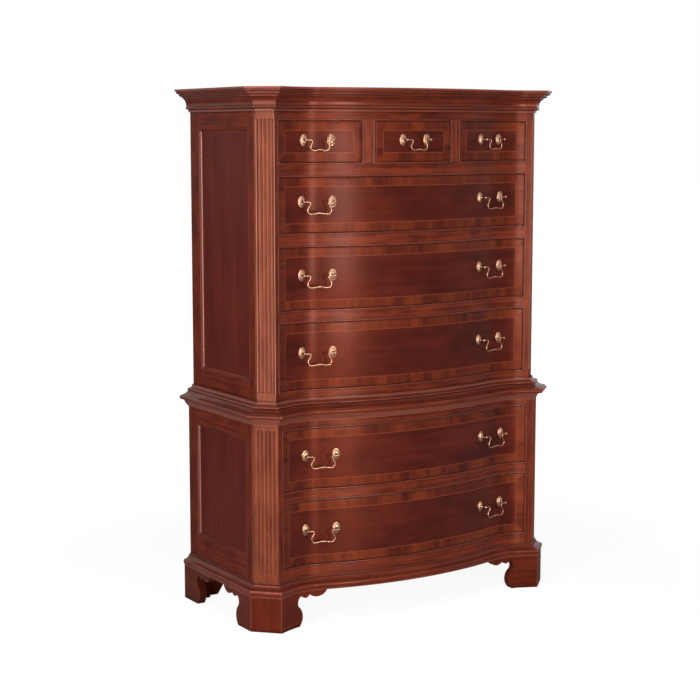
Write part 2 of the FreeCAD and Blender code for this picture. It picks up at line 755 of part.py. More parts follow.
for case, offset, low, high in (("upper", case_offset, z_upper_case, z_top),
                                ("lower", lower_step, z_lower_case, z_waist)):
    right = corner_post(case, offset, low, high)
    node(case + "_corner_posts", group(case + "_post_group",
                                       [mirrored(case + "_post_left", right), right]))

# ------------------------------------------------------------------ side frames and panels
side_panels = []


def side_frame(case, offset, low, high, top_rail, bottom_rail):
    """Right-hand frame of stiles and rails, and the panel between them."""
    outer = case_half_width + offset
    inner = case_half_width - side_thickness
    front = fixed(corner_points(offset)[1].y) + post_depth
    walls = (inner, outer)
    rails = (front + front_stile_width, back_y - side_stile_width)
    pieces = [
        board(case + "_front_stile", walls, (front, rails[0]), (low, high)),
        board(case + "_rear_stile", walls, (rails[1], back_y), (low, high)),
        board(case + "_side_top_rail", walls, rails, (high - top_rail, high)),
        board(case + "_side_bottom_rail", walls, rails, (low, low + bottom_rail)),
    ]
    face = outer - panel_recess
    side_panels.append(board(case + "_side_panel", (face - panel_thickness, face), rails,
                             (low + bottom_rail, high - top_rail)))
    copies = [mirrored(piece.Name + "_left", piece) for piece in pieces]
    node(case + "_side_frames", group(case + "_frame_group", pieces + copies))


side_frame("upper", case_offset, z_upper_case, z_top, upper_side_top_rail, upper_side_bottom_rail)
side_frame("lower", lower_step, z_lower_case, z_waist, lower_side_top_rail, lower_side_bottom_rail)
side_panels += [mirrored(panel.Name + "_left", panel) for panel in side_panels]
node("side_panels", group("panel_group", side_panels))

# ------------------------------------------------------------------ backs, dust panels, guides
inside = case_half_width - side_thickness
inside_span = (-inside, inside)
back_face = back_y - back_thickness
node("upper_back_panel", board("upper_back", inside_span, (back_face, back_y), (z_upper_case, z_top)))
node("lower_back_panel", board("lower_back", inside_span, (back_face, back_y), (z_lower_case, z_waist)))


def dust_panel(name, top):
    return board(name, inside_span, (rail_back, back_face), (top - dust_thickness, top))


node("upper_dust_panels", group("upper_dust_group", [
    dust_panel("dust_" + label, top) for label, top in
    (("short", z_short_drawers), ("4", z_drawer_4), ("5", z_drawer_5), ("6", z_drawer_6))]))
node("lower_dust_panels", group("lower_dust_group", [
    dust_panel("dust_7", z_drawer_7), dust_panel("dust_8", z_drawer_8)]))

guides = []
guide_face = opening_half_width - front_gap + running_gap
for label, top in (("short", z_short_drawers), ("4", z_drawer_4), ("5", z_drawer_5),
                   ("6", z_drawer_6), ("7", z_drawer_7), ("8", z_drawer_8)):
    strip = board("guide_" + label, (guide_face, inside), (rail_back, back_face),
                  (top, top + guide_height))
    guides += [strip, mirrored("guide_left_" + label, strip)]
slack = front_gap - running_gap
inner_guide = board("guide_between", (divider_inner - slack, divider_outer + slack),
                    (rail_back, back_face), (z_short_drawers, z_short_drawers + guide_height))
guides += [inner_guide, mirrored("guide_between_left", inner_guide)]
node("drawer_guides", group("guide_group", guides))

# ------------------------------------------------------------------ drawers
front_back = back_y - dip_depth + drawer_front_thickness
drawer_rear = back_y - drawer_back_gap
stops = []


def drawer(opening):
    """Front, box and stops of one drawer, fitted to its opening."""
    left, right = opening.x_span[0] + front_gap, opening.x_span[1] - front_gap
    low, high = opening.z_span[0] + front_gap, opening.z_span[1] - front_gap
    floor = opening.z_span[0] + running_gap
    side_top = high - drawer_side_drop
    name = opening.name
    back = front_back - (case_offset if opening.case == "upper" else lower_step)
    stock = board("front_stock_" + name, (left, right), (whole_depth[0], back), (low, high))
    shaped = boolean("Common", "front_shaped_" + name, stock, plate[opening.case + "_face"])
    thinnest = min(-front_point(x, opening.offset).y for x in (float(left), float(right)))
    house = fixed(-thinnest) + drawer_lap
    sides = [board("side_left_" + name, (left, left + drawer_side_thickness),
                   (house, drawer_rear), (floor, side_top)),
             board("side_right_" + name, (right - drawer_side_thickness, right),
                   (house, drawer_rear), (floor, side_top))]
    housings = group("housings_" + name, sides)
    node("drawer_front_" + name, boolean("Cut", "front_housed_" + name, shaped, housings))
    between = (left + drawer_side_thickness, right - drawer_side_thickness)
    panel_low = opening.z_span[0] + drawer_bottom_lift
    panel_high = panel_low + drawer_bottom_thickness
    bottom = board("bottom_" + name, between, (back, drawer_rear), (panel_low, panel_high))
    rear = board("rear_" + name, between, (drawer_rear - drawer_side_thickness, drawer_rear),
                 (panel_high, side_top - drawer_side_drop / 2))
    node("drawer_box_" + name, group("box_" + name, sides + [bottom, rear]))
    middle = (left + right) / 2
    quarter = (right - left) / 4
    for side, place in (("a", middle - quarter), ("b", middle + quarter)):
        stops.append(board("stop_%s_%s" % (name, side),
                           (place - stop_length / 2, place + stop_length / 2),
                           (back + running_gap, back + running_gap + stop_depth),
                           (opening.z_span[0], opening.z_span[0] + stop_height)))


for opening in openings:
    drawer(opening)
node("drawer_stops", group("stop_group", stops))

# ------------------------------------------------------------------ bracket feet
bracket_flats = 4


def bracket_outline(reach):
    """The scrolled edge of a foot, from the floor to the moulding, as arcs in (along, up)."""
    tall = float(foot_height)
    cusp_level = tall - float(cusp_drop)
    lobe_level = cusp_level - float(lobe_drop)
    near, end = float(reach), float(bracket_reach)
    neck_end = near + float(neck_return)
    cusp = neck_end + float(small_lobe)
    floor = (near, 0)
    belly = (near + float(foot_swell), float(foot_belly_height))
    throat = (near - float(foot_waist) / 2, float(foot_throat_height))
    neck = (near - float(foot_waist), float(foot_neck_height))
    inner_cusp = (neck_end, cusp_level)
    inner_lobe = ((neck_end + cusp) / 2, lobe_level)
    outer_cusp = (cusp, cusp_level)
    outer_lobe = ((cusp + end) / 2, lobe_level)
    top = (end, tall)
    edges = []
    for stretch in ((floor, belly, throat), (throat, neck, inner_cusp),
                    (inner_cusp, inner_lobe, outer_cusp), (outer_cusp, outer_lobe, top)):
        points = [FreeCAD.Vector(along, 0, up) for along, up in stretch]
        worked = Part.Arc(*points).toShape().discretize(bracket_flats + 1)
        edges += Part.makePolygon(worked).Edges
    inner_top, corner = FreeCAD.Vector(0, 0, tall), FreeCAD.Vector(0, 0, 0)
    edges.append(Part.makeLine(FreeCAD.Vector(end, 0, tall), inner_top))
    edges.append(Part.makeLine(inner_top, corner))
    edges.append(Part.makeLine(corner, FreeCAD.Vector(near, 0, 0)))
    return Part.Face(Part.Wire(edges))


def stood(outline, corner, way, thickness):
    """The outline stood at a corner, running along way, as thick as given to the left of way."""
    placed = outline.copy()
    placed.Placement = FreeCAD.Placement(corner, FreeCAD.Rotation(RIGHT, way))
    return placed.extrude(FreeCAD.Vector(-way.y, way.x, 0) * thickness)


foot_front, foot_side = corner_points(base_offset)
board_thickness = float(bracket_thickness)
front_outline = bracket_outline(foot_reach)
rear_outline = bracket_outline(rear_foot_reach)
foot_outer = case_half_width + base_offset
foot_inner = foot_outer - bracket_thickness

front_blank = stood(front_outline, FreeCAD.Vector(foot_front.x, float(whole_depth[0]), 0),
                    FreeCAD.Vector(-1, 0, 0), -float(back_y))
curved_band = boolean("Cut", "foot_band", plate["foot_face"], plate["foot_inside"])
front_board = boolean("Common", "foot_front_right", curved_band,
                      feature("foot_front_blank", front_blank))
cant_plan = [foot_front, foot_side, FreeCAD.Vector(float(foot_inner), foot_side.y, 0),
             FreeCAD.Vector(foot_front.x, foot_front.y + board_thickness / math.cos(swing), 0)]
cant_face = Part.Face(Part.makePolygon(cant_plan + cant_plan[:1]))
cant_board = feature("foot_cant_right", cant_face.extrude(UP * float(foot_height)))
side_board = feature("foot_side_right", stood(front_outline, foot_side, FreeCAD.Vector(0, 1, 0),
                                              board_thickness))
front_feet = [front_board, cant_board, side_board]
front_feet += [mirrored(piece.Name + "_left", piece) for piece in front_feet]
node("front_bracket_feet", group("front_foot_group", front_feet))

rear_corner = FreeCAD.Vector(float(foot_inner), float(back_y), 0)
rear_side = feature("foot_rear_side_right", stood(rear_outline, rear_corner,
                                                  FreeCAD.Vector(0, -1, 0), board_thickness))
slant = [(0, 0), (float(rear_board_reach) - board_thickness, 0),
         (float(rear_board_reach + rear_board_slant) - board_thickness, float(foot_height)),
         (0, float(foot_height))]
slant_points = [rear_corner + FreeCAD.Vector(-along, 0, up) for along, up in slant]
slant_face = Part.Face(Part.makePolygon(slant_points + slant_points[:1]))
rear_plain = feature("foot_rear_right", slant_face.extrude(FreeCAD.Vector(0, -board_thickness, 0)))
rear_feet = [rear_side, rear_plain]
rear_feet += [mirrored(piece.Name + "_left", piece) for piece in rear_feet]
node("rear_bracket_feet", group("rear_foot_group", rear_feet))

block_span = (foot_inner - glue_block, foot_inner)
block_heights = (glue_block_lift, foot_height)
block_front = fixed(foot_side.y)
block_rear = back_y - bracket_thickness
blocks = [board("block_front", block_span, (block_front, block_front + glue_block), block_heights),
          board("block_rear", block_span, (block_rear - glue_block, block_rear), block_heights)]
blocks += [mirrored(piece.Name + "_left", piece) for piece in blocks]
node("foot_blocks", group("block_group", blocks))


# ------------------------------------------------------------------ pulls
class Pull:
    """Where one pull stands on the front: its two post feet, its way along and its way out."""

    def __init__(self, name, opening, x, spacing, rise):
        self.name = name
        self.opening = opening
        low, high = opening.z_span
        level = UP * ((float(low) + float(high)) / 2 + float(rise))
        turn = front_slope(x)
        for _ in range(3):
            half = float(spacing) / 2 * math.cos(turn)
            left, right = (front_point(float(x) + way * half, opening.offset) for way in (-1, 1))
            turn = math.atan2(right.y - left.y, right.x - left.x)
        self.along = (right - left).normalize()
        self.out = FreeCAD.Vector(self.along.y, -self.along.x, 0)
        self.feet = [left + level, right + level]
        self.pivot = (left + right) * 0.5 + level + self.out * float(bail_stand)


def ring(radius, sides, centre, way):
    """A regular polygon round a centre, square to way."""
    turn = FreeCAD.Rotation(UP, way)
    step = 2 * math.pi / sides
    corners = [centre + turn.multVec(facing(count * step)) * radius for count in range(sides)]
    return Part.makePolygon(corners + corners[:1])


def prism(radius, sides, start, way, length):
    return Part.Face(ring(radius, sides, start, way)).extrude(way * length)


def frustum(low_radius, high_radius, sides, start, way, height):
    """A tapered prism, each of its sides one flat face."""
    low = ring(low_radius, sides, start, way)
    high = ring(high_radius, sides, start + way * height, way)
    pairs = zip(low.OrderedVertexes, high.OrderedVertexes)
    posts = [(one.Point, other.Point) for one, other in pairs]
    faces = [Part.Face(low), Part.Face(high)]
    for (a, b), (c, d) in zip(posts, posts[1:] + posts[:1]):
        faces.append(Part.Face(Part.makePolygon([a, c, d, b, a])))
    return Part.makeSolid(Part.makeShell(faces))


def pull_post(pull, foot, inward):
    """One domed rosette and its post, bored for the bail's end."""
    radius = float(rosette_radius)
    normal = facing(front_slope(foot.x))
    level = FreeCAD.Vector(0, 0, foot.z)
    rim = [front_point(foot.x + side * radius, pull.opening.offset) + level for side in (-1, 1)]
    seat = foot + normal * max(0, *[(point - foot).dot(normal) for point in rim])
    rosette = frustum(radius, float(rosette_crown), 12, seat, normal, float(rosette_height))
    head_start = float(bail_stand) - float(post_head_length) / 2
    stem = prism(float(post_radius), 4, seat, pull.out, head_start)
    head = prism(float(post_head_radius), 6, foot + pull.out * head_start, pull.out,
                 float(post_head_length))
    whole = rosette.multiFuse([stem, head]).removeSplitter()
    bore_radius = (float(bail_bar) / math.sqrt(2) + float(bail_clearance)) / math.cos(math.pi / 6)
    bore = prism(bore_radius, 6, foot + pull.out * float(bail_stand), inward,
                 2 * float(post_head_radius))
    return whole.cut(bore)


def bail_body(name, spacing, neck, drop):
    """A swan-neck bail in its own frame: pivot axis on x, hanging down z."""
    body = doc.addObject("PartDesign::Body", name)
    path = body.newObject("Sketcher::SketchObject", name + "_path")
    path.AttachmentSupport = [(origin_plane(body, "XZ_Plane"), "")]
    path.MapMode = "FlatFace"
    lean = math.radians(float(bail_lean))
    throat, corner = float(bail_throat), float(bail_corner)
    end = float(spacing) / 2 - float(bail_clearance)
    neck_top = FreeCAD.Vector(float(neck) + throat, 0, 0)
    throat_centre = neck_top - FreeCAD.Vector(0, throat, 0)
    throat_end = throat_centre - FreeCAD.Vector(math.cos(lean), math.sin(lean), 0) * throat
    shank_way = FreeCAD.Vector(math.sin(lean), -math.cos(lean), 0)
    corner_low = -float(drop) + corner
    shank_end_y = corner_low + corner * math.sin(lean)
    shank_end = throat_end + shank_way * ((throat_end.y - shank_end_y) / math.cos(lean))
    corner_centre = FreeCAD.Vector(shank_end.x - corner * math.cos(lean), corner_low, 0)
    bottom = corner_centre - FreeCAD.Vector(0, corner, 0)

    def worked_arc(centre, radius, start, stop, flats=3):
        """Points along an arc between two angles, its ends included."""
        return [centre + FreeCAD.Vector(math.cos(angle), math.sin(angle), 0) * radius
                for angle in (start + (stop - start) * step / flats for step in range(flats + 1))]

    half = [FreeCAD.Vector(end, 0, 0)]
    half += worked_arc(throat_centre, throat, math.pi / 2, math.pi + lean)
    half += worked_arc(corner_centre, corner, lean, -math.pi / 2)
    whole = half + [FreeCAD.Vector(-point.x, point.y, 0) for point in reversed(half)]
    path.addGeometry([Part.LineSegment(*pair) for pair in zip(whole, whole[1:])], False)
    section = body.newObject("Sketcher::SketchObject", name + "_section")
    section.AttachmentSupport = [(origin_plane(body, "YZ_Plane"), "")]
    section.MapMode = "FlatFace"
    section.AttachmentOffset = FreeCAD.Placement(UP * end, FreeCAD.Rotation())
    half_bar = float(bail_bar) / 2
    corners = [FreeCAD.Vector(-half_bar, -half_bar, 0), FreeCAD.Vector(half_bar, -half_bar, 0),
               FreeCAD.Vector(half_bar, half_bar, 0), FreeCAD.Vector(-half_bar, half_bar, 0)]
    section.addGeometry([Part.LineSegment(corners[count - 1], corners[count])
                         for count in range(4)], False)
    pipe = body.newObject("PartDesign::AdditivePipe", name + "_pipe")
    pipe.Profile = section
    pipe.Spine = path
    pipe.Mode = "Standard"
    pipe.Transition = "Right corner"
    body.Tip = pipe
    return body


large_bail = bail_body("bail_large", pull_spacing, bail_neck_half, bail_drop)
small_bail = bail_body("bail_small", short_pull_spacing, short_bail_neck_half, short_bail_drop)
doc.recompute()


def hang(pull, pattern):
    """Hands over one bail hung at a pull."""
    bail = node("bail_" + pull.name, group("hung_bail_" + pull.name, [pattern]))
    bail.Placement = FreeCAD.Placement(pull.pivot, FreeCAD.Rotation(RIGHT, pull.along))


for opening in openings:
    low_x, high_x = (float(edge) for edge in opening.x_span)
    if opening.x_span is full:
        mine = [Pull(opening.name + "_left", opening, -pull_offset, pull_spacing, pull_rise),
                Pull(opening.name + "_right", opening, pull_offset, pull_spacing, pull_rise)]
        pattern = large_bail
    else:
        mine = [Pull(opening.name, opening, (low_x + high_x) / 2, short_pull_spacing, short_pull_rise)]
        pattern = small_bail
    posts = [pull_post(pull, foot, way) for pull in mine
             for foot, way in zip(pull.feet, (pull.along, -pull.along))]
    node("pull_mounts_" + opening.name, feature("posts_" + opening.name, Part.makeCompound(posts)))
    for pull in mine:
        hang(pull, pattern)

doc.recompute()
for item in doc.Objects:
    if "Invalid" in item.State or "Error" in item.State:
        raise RuntimeError("failed: " + item.Name)
os.makedirs("parts", exist_ok=True)
for item in NODES:
    if item.Shape.isNull() or not item.Shape.isValid():
        raise RuntimeError("no sound shape: " + item.Label)
    item.Shape.exportStep("parts/%s.step" % item.Label)
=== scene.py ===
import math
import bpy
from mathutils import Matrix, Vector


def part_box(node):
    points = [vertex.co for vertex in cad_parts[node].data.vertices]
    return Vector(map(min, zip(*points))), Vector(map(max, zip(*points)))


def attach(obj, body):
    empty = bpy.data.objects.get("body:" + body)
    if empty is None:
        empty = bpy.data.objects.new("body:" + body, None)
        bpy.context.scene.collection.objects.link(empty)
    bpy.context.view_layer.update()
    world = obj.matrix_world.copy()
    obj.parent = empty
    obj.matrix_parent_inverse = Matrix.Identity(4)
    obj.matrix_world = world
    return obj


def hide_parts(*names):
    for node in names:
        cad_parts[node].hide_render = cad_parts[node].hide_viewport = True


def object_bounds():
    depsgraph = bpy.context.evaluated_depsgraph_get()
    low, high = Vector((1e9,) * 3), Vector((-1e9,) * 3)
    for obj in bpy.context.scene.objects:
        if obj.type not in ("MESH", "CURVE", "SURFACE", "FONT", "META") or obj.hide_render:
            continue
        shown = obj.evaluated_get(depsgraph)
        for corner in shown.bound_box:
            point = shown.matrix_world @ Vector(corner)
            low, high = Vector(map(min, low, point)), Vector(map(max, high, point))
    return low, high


bl_info = {
    "name": "Serpentine chest-on-chest",
    "version": (1, 0, 0),
    "blender": (4, 5, 0),
    "location": "3D View > Sidebar > Chest",
    "description": "Dresses the packed chest: shaped fronts, mouldings, flutes, feet and brass pulls",
    "category": "Object",
}

import bmesh
import bpy
from mathutils import Matrix, Vector

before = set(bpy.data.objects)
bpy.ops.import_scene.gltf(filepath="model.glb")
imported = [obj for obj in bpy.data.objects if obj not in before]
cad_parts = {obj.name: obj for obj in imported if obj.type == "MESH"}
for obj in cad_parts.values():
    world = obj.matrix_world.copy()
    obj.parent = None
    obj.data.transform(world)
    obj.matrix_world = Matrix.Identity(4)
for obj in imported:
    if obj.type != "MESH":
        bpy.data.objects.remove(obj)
CAD_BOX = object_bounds()
MM = 0.001
BACK = CAD_BOX[1].y / MM


def shade(code):
    """Linear colour of an sRGB hex code."""
    levels = [int(code[place:place + 2], 16) / 255 for place in (1, 3, 5)]
    return tuple(v / 12.92 if v <= 0.04045 else ((v + 0.055) / 1.055) ** 2.4 for v in levels)


def length(name, description, value):
    """A length property, given in millimetres."""
    return bpy.props.FloatProperty(name=name, description=description, default=value * MM,
                                   unit="LENGTH", subtype="DISTANCE")


def colour(name, description, code):
    return bpy.props.FloatVectorProperty(name=name, description=description, size=3,
                                         default=shade(code), min=0, max=1, subtype="COLOR")


class ChestPlan(bpy.types.PropertyGroup):
    """The plan of the case, as the frame has it."""

    half_width: length("Half width", "Centre line to the side of the upper case", 507)
    crown_depth: length("Crown depth", "Back of the case to the crown of the front curve", 486)
    dip_depth: length("Hollow depth", "Back of the case to the hollow of the front curve", 430)
    dip_offset: length("Hollow place", "Centre line to the hollow", 370)
    dip_radius: length("Hollow radius", "Radius of the hollow of the front curve", 195)
    stile_angle: bpy.props.FloatProperty(name="Stile slant", unit="ROTATION", subtype="ANGLE",
                                         description="Slant of the front beside the hollow",
                                         default=math.radians(24))
    cant_width: length("Cant width", "Width of the canted corner along the front", 36.5)
    lower_step: length("Lower step", "Lower case outside the upper case", 17.6)
    base_step: length("Base step", "Feet outside the lower case", 22.1)


class ChestDetail(bpy.types.PropertyGroup):
    """Sizes of the worked detail."""

    bead_width: length("Bead width", "Cock beads round the drawers", 5.5)
    bead_proud: length("Bead projection", "Cock beads in front of the rails", 2.5)
    band_width: length("Banding width", "Cross-banding round each drawer front", 27)
    string_width: length("String width", "String line inside the banding", 2.2)
    front_arris: length("Arris", "Rounding of the edges of the drawer fronts", 1.6)
    flute_width: length("Flute width", "Flutes of the canted corners", 8.2)
    flute_pitch: length("Flute pitch", "Between flutes", 12.0)
    flute_depth: length("Flute depth", "Depth of the flutes", 3.0)
    drawer_side: length("Drawer side", "Thickness of the drawer sides housed in the fronts", 12)
    rosette: length("Rosette height", "Middle to the top of the oval rosettes", 17.6)
    rosette_width: length("Rosette width", "Middle to the side of the oval rosettes", 12.2)


class ChestFinish(bpy.types.PropertyGroup):
    """Colours of the woods and the brass."""

    cherry_deep: colour("Cherry, deep", "Dark streaks of the solid wood", "#41160e")
    cherry_warm: colour("Cherry, warm", "Light streaks of the solid wood", "#672919")
    post_deep: colour("Post, deep", "Dark streaks of the corner posts", "#562417")
    post_warm: colour("Post, warm", "Light streaks of the corner posts", "#803f28")
    # The feet's colours are darker than the cherry's: painted shade near the floor
    foot_deep: colour("Foot, deep", "Dark streaks of the feet", "#3e150d")
    foot_warm: colour("Foot, warm", "Light streaks of the feet", "#5a2214")
    field_deep: colour("Field, deep", "Dark figure of the drawer veneer", "#2f0e0b")
    field_warm: colour("Field, warm", "Light figure of the drawer veneer", "#4d1b13")
    band_deep: colour("Banding, deep", "Dark figure of the cross-banding", "#37110d")
    band_warm: colour("Banding, warm", "Light figure of the cross-banding", "#642a17")
    string: colour("String", "Boxwood string line", "#6c301e")
    side_deep: colour("Side veneer, deep", "Dark figure of the side panels", "#421813")
    side_warm: colour("Side veneer, warm", "Light figure of the side panels", "#58221b")
    inner_deep: colour("Inside wood, deep", "Late wood of the drawer boxes", "#a2764e")
    inner_warm: colour("Inside wood, warm", "Early wood of the drawer boxes", "#d2ae84")
    brass: colour("Brass", "Polished brass of the pulls", "#a87e64")
    tarnish: colour("Tarnish", "Brass in the hollows of the pulls", "#34180f")


# ------------------------------------------------------------------ the plan of the chest
class Plan:
    """The front outline and its offsets, in millimetres."""

    def __init__(self, plan):
        self.half = plan.half_width / MM
        self.cant = plan.cant_width / MM
        self.step = plan.lower_step / MM
        self.foot = (plan.lower_step + plan.base_step) / MM
        self.hollow_radius = plan.dip_radius / MM
        self.swing = plan.stile_angle
        reach = plan.dip_offset / MM
        rise = (plan.crown_depth - plan.dip_depth) / MM
        radii = (reach ** 2 + rise ** 2) / (2 * rise)
        self.crown_radius = radii - self.hollow_radius
        self.turn = math.asin(reach / radii)
        self.crown_centre = Vector((0, BACK - plan.crown_depth / MM + self.crown_radius))
        self.hollow_centre = Vector((reach, BACK - plan.dip_depth / MM - self.hollow_radius))

    def crown(self, angle, out):
        radius = self.crown_radius + out
        return self.crown_centre + Vector((math.sin(angle), -math.cos(angle))) * radius

    def hollow(self, angle, out):
        radius = self.hollow_radius - out
        return self.hollow_centre + Vector((math.sin(angle), math.cos(angle))) * radius

    def front(self, x, out):
        """How far back the front outline lies at x, set out by out."""
        reach = abs(x)
        if reach < self.crown(self.turn, out).x:
            return self.crown(math.asin(reach / (self.crown_radius + out)), out).y
        end = self.hollow(self.swing, out)
        if reach < end.x:
            angle = math.asin((reach - self.hollow_centre.x) / (self.hollow_radius - out))
            return self.hollow(angle, out).y
        return end.y - (reach - end.x) * math.tan(self.swing)

    def breaks(self, out):
        """The front and side breaks of the right-hand canted corner."""
        start = self.hollow(self.swing, out)
        inner = self.half - self.cant
        level = self.front(inner, 0) - inner - out * math.sqrt(2)
        slope = -math.tan(self.swing)
        x = (start.y - slope * start.x - level) / (1 - slope)
        side = self.half + out
        return Vector((x, x + level)), Vector((side, side + level))

    def face_normal(self, x, out):
        """The outward direction of the front at x."""
        step = 0.5
        rise = (self.front(x + step, out) - self.front(x - step, out)) / (2 * step)
        return Vector((rise, -1)).normalized()

    def stations(self):
        """Points round both sides and the front, each with the way it moves per unit set out."""
        crown_flats, hollow_flats = 24, 14
        right = []
        for count in range(1, crown_flats + 1):
            angle = self.turn * count / crown_flats
            right.append((self.crown(angle, 0), Vector((math.sin(angle), -math.cos(angle)))))
        for count in range(1, hollow_flats + 1):
            angle = -self.turn + (self.turn + self.swing) * count / hollow_flats
            right.append((self.hollow(angle, 0), -Vector((math.sin(angle), math.cos(angle)))))
        for near, far in zip(self.breaks(0), self.breaks(1)):
            right.append((near, far - near))
        right.append((Vector((self.half, BACK)), Vector((1, 0))))
        left = [(Vector((-p.x, p.y)), Vector((-m.x, m.y))) for p, m in reversed(right)]
        middle = [(self.crown(0, 0), Vector((0, -1)))]
        return left + middle + right


# ------------------------------------------------------------------ piece making
def stood(name, data):
    """A new object in the scene."""
    piece = bpy.data.objects.new(name, data)
    bpy.context.scene.collection.objects.link(piece)
    return piece


class Stock:
    """The faces of one piece, in millimetres, each with the way its grain runs."""

    def __init__(self, seed=0):
        self.points = []
        self.faces = []
        self.grain = []
        self.finish = []
        self.marks = {}
        self.shift = Vector((seed * 1370.0, seed * 530.0))

    def point(self, x, y, z):
        self.points.append(Vector((x, y, z)))
        return len(self.points) - 1

    def face(self, corners, grain=None, finish=0):
        """One flat face; where no grain is given it runs along y or x, as the face lies."""
        if grain is None:
            places = [self.points[corner] for corner in corners]
            middle = sum(places, Vector()) / len(places)
            normal = Vector()
            for one, other in zip(places, places[1:] + places[:1]):
                normal += (one - middle).cross(other - middle)
            flat = max(range(3), key=lambda axis: abs(normal[axis]))
            along, across = {0: (1, 2), 1: (0, 2), 2: (0, 1)}[flat]
            grain = [(place[along], place[across]) for place in places]
        self.faces.append(corners)
        self.grain.append(grain)
        self.finish.append(finish)

    def lay(self, rows, finish=0):
        """Faces between rows of (corner, (along, across))."""
        for low, high in zip(rows, rows[1:]):
            for place in range(len(low) - 1):
                ring = (low[place], low[place + 1], high[place + 1], high[place])
                corners = [corner for corner, _ in ring]
                if len(set(corners)) < 3:
                    continue
                kept = [at for at in range(4) if corners[at] not in corners[:at]]
                self.face([corners[at] for at in kept], [ring[at][1] for at in kept], finish)

    def ring(self, spots, grain):
        """A closed row of corners. The first comes round again, with a grain of its own if one
        more is given."""
        corners = [self.point(*spot) for spot in spots]
        return list(zip(corners + corners[:1], grain + grain[:1]))

    def cap(self, *rows):
        """One face across each ring of corners."""
        for row in rows:
            self.face([corner for corner, _ in row[:-1]])

    def set_back(self, corners, depth):
        """Corners straight behind others, at a depth."""
        places = [self.points[corner] for corner in corners]
        return [self.point(place.x, depth, place.z) for place in places]

    def skirt(self, near, far, finish=0):
        """Faces between two lines of corners."""
        for ring in zip(near, near[1:], far[1:], far):
            self.face(list(ring), finish=finish)

    def board(self, low, high, axis=0):
        """A flat board between two corners, its grain along an axis."""
        corner = [self.point(*(high[n] if at >> n & 1 else low[n] for n in range(3)))
                  for at in range(8)]
        for ring in ((0, 1, 3, 2), (4, 6, 7, 5), (0, 4, 5, 1),
                     (2, 3, 7, 6), (0, 2, 6, 4), (1, 5, 7, 3)):
            places = [self.points[corner[at]] for at in ring]
            flat = [n for n in range(3) if len({place[n] for place in places}) == 1][0]
            others = [n for n in range(3) if n != flat]
            along = axis if axis in others else others[0]
            across = [n for n in others if n != along][0]
            self.face([corner[at] for at in ring],
                      [(place[along], place[across] + place[flat]) for place in places])

    def made(self, name, body, slot, *finishes, sharp=30):
        """The finished object, riding on its body."""
        mesh = bpy.data.meshes.new(name)
        mesh.from_pydata([tuple(point * MM) for point in self.points], [], self.faces)
        layer = mesh.uv_layers.new(name="grain")
        flat = [(Vector(place) + self.shift) * MM for ring in self.grain for place in ring]
        layer.data.foreach_set("uv", [value for place in flat for value in place])
        if self.marks:
            order = [corner for ring in self.faces for corner in ring]
            for part, title in ((0, "near_edges"), (1, "far_edges")):
                layer = mesh.uv_layers.new(name=title)
                places = (self.marks.get(corner, ((0, 0), (0, 0)))[part] for corner in order)
                layer.data.foreach_set("uv", [value * MM for place in places for value in place])
        for finish in finishes:
            mesh.materials.append(Finishes.get(finish))
        mesh.polygons.foreach_set("material_index", self.finish)
        shell = bmesh.new()
        shell.from_mesh(mesh)
        bmesh.ops.recalc_face_normals(shell, faces=shell.faces)
        shell.to_mesh(mesh)
        shell.free()
        mesh.polygons.foreach_set("use_smooth", [True] * len(mesh.polygons))
        mesh.set_sharp_from_angle(angle=math.radians(sharp))
        mesh.update()
        piece = stood(name, mesh)
        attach(piece, body)
        return piece


def bend(centre, radius, first, last, flats, skipped=0):
    """Points along an arc between two angles, those skipped left out."""
    turns = [first + (last - first) * n / flats for n in range(skipped, flats + 1)]
    return [centre + Vector((math.cos(turn), math.sin(turn))) * radius for turn in turns]


def arc(start, end, bulge, flats=6):
    """Points along an arc from start to end, start left out, bulging to the left by bulge chords."""
    way = end - start
    chord = way.length
    sag = bulge * chord
    radius = (chord ** 2 / 4 + sag ** 2) / (2 * abs(sag))
    left = Vector((-way.y, way.x)).normalized() * math.copysign(1, bulge)
    centre = (start + end) / 2 + left * (abs(sag) - radius)
    first = math.atan2(*(start - centre).yx)
    return bend(centre, radius, first, first - 4 * math.atan(2 * bulge), flats, 1)


def walked(start, *members):
    """A moulding section: each member a step (out, up) or an arc (out, up, bulge)."""
    section = [Vector(start)]
    for member in members:
        end = section[-1] + Vector(member[:2])
        section += arc(section[-1], end, member[2]) if len(member) == 3 else [end]
    return section


def measured(points):
    """How far along a line each of its points lies."""
    lengths = [0.0]
    for one, other in zip(points, points[1:]):
        lengths.append(lengths[-1] + (other - one).length)
    return lengths


def moulding(plan, section, seed):
    """A closed section of (offset, height) swept round the sides and the front."""
    stock = Stock(seed)
    stations = plan.stations()
    girth = measured(section + section[:1])
    travelled = measured([place for place, _ in stations])
    rows = [stock.ring([(*(place + way * out), up) for out, up in section],
                       [(along, across) for across in girth])
            for (place, way), along in zip(stations, travelled)]
    stock.lay(rows)
    stock.cap(rows[0], rows[-1])
    return stock


def slab(plan, low, high, seed):
    """A flat board with the plan of the whole case."""
    stock = Stock(seed)
    outline = [place for place, _ in plan.stations()]
    sheets = [stock.ring([(*place, level) for place in outline], [(x, level) for x, _ in outline])
              for level in (low, high)]
    stock.cap(*sheets)
    stock.lay(sheets)
    return stock


def softened(low, high, radius, pitch):
    """Places between low and high, close together at both ends, each with its rounding inset."""
    turns = [math.pi / 2 * n / 4 for n in range(5)] if radius else [math.pi / 2]
    ends = [(radius * (1 - math.cos(turn)), radius * (1 - math.sin(turn))) for turn in turns]
    flat = high - low - 2 * radius
    inner = max(int(math.ceil(flat / pitch)), 1)
    spans = [(low + radius + flat * n / inner, 0.0) for n in range(1, inner)]
    return ([(low + end, inset) for end, inset in ends] + spans
            + [(high - end, inset) for end, inset in ends[::-1]])


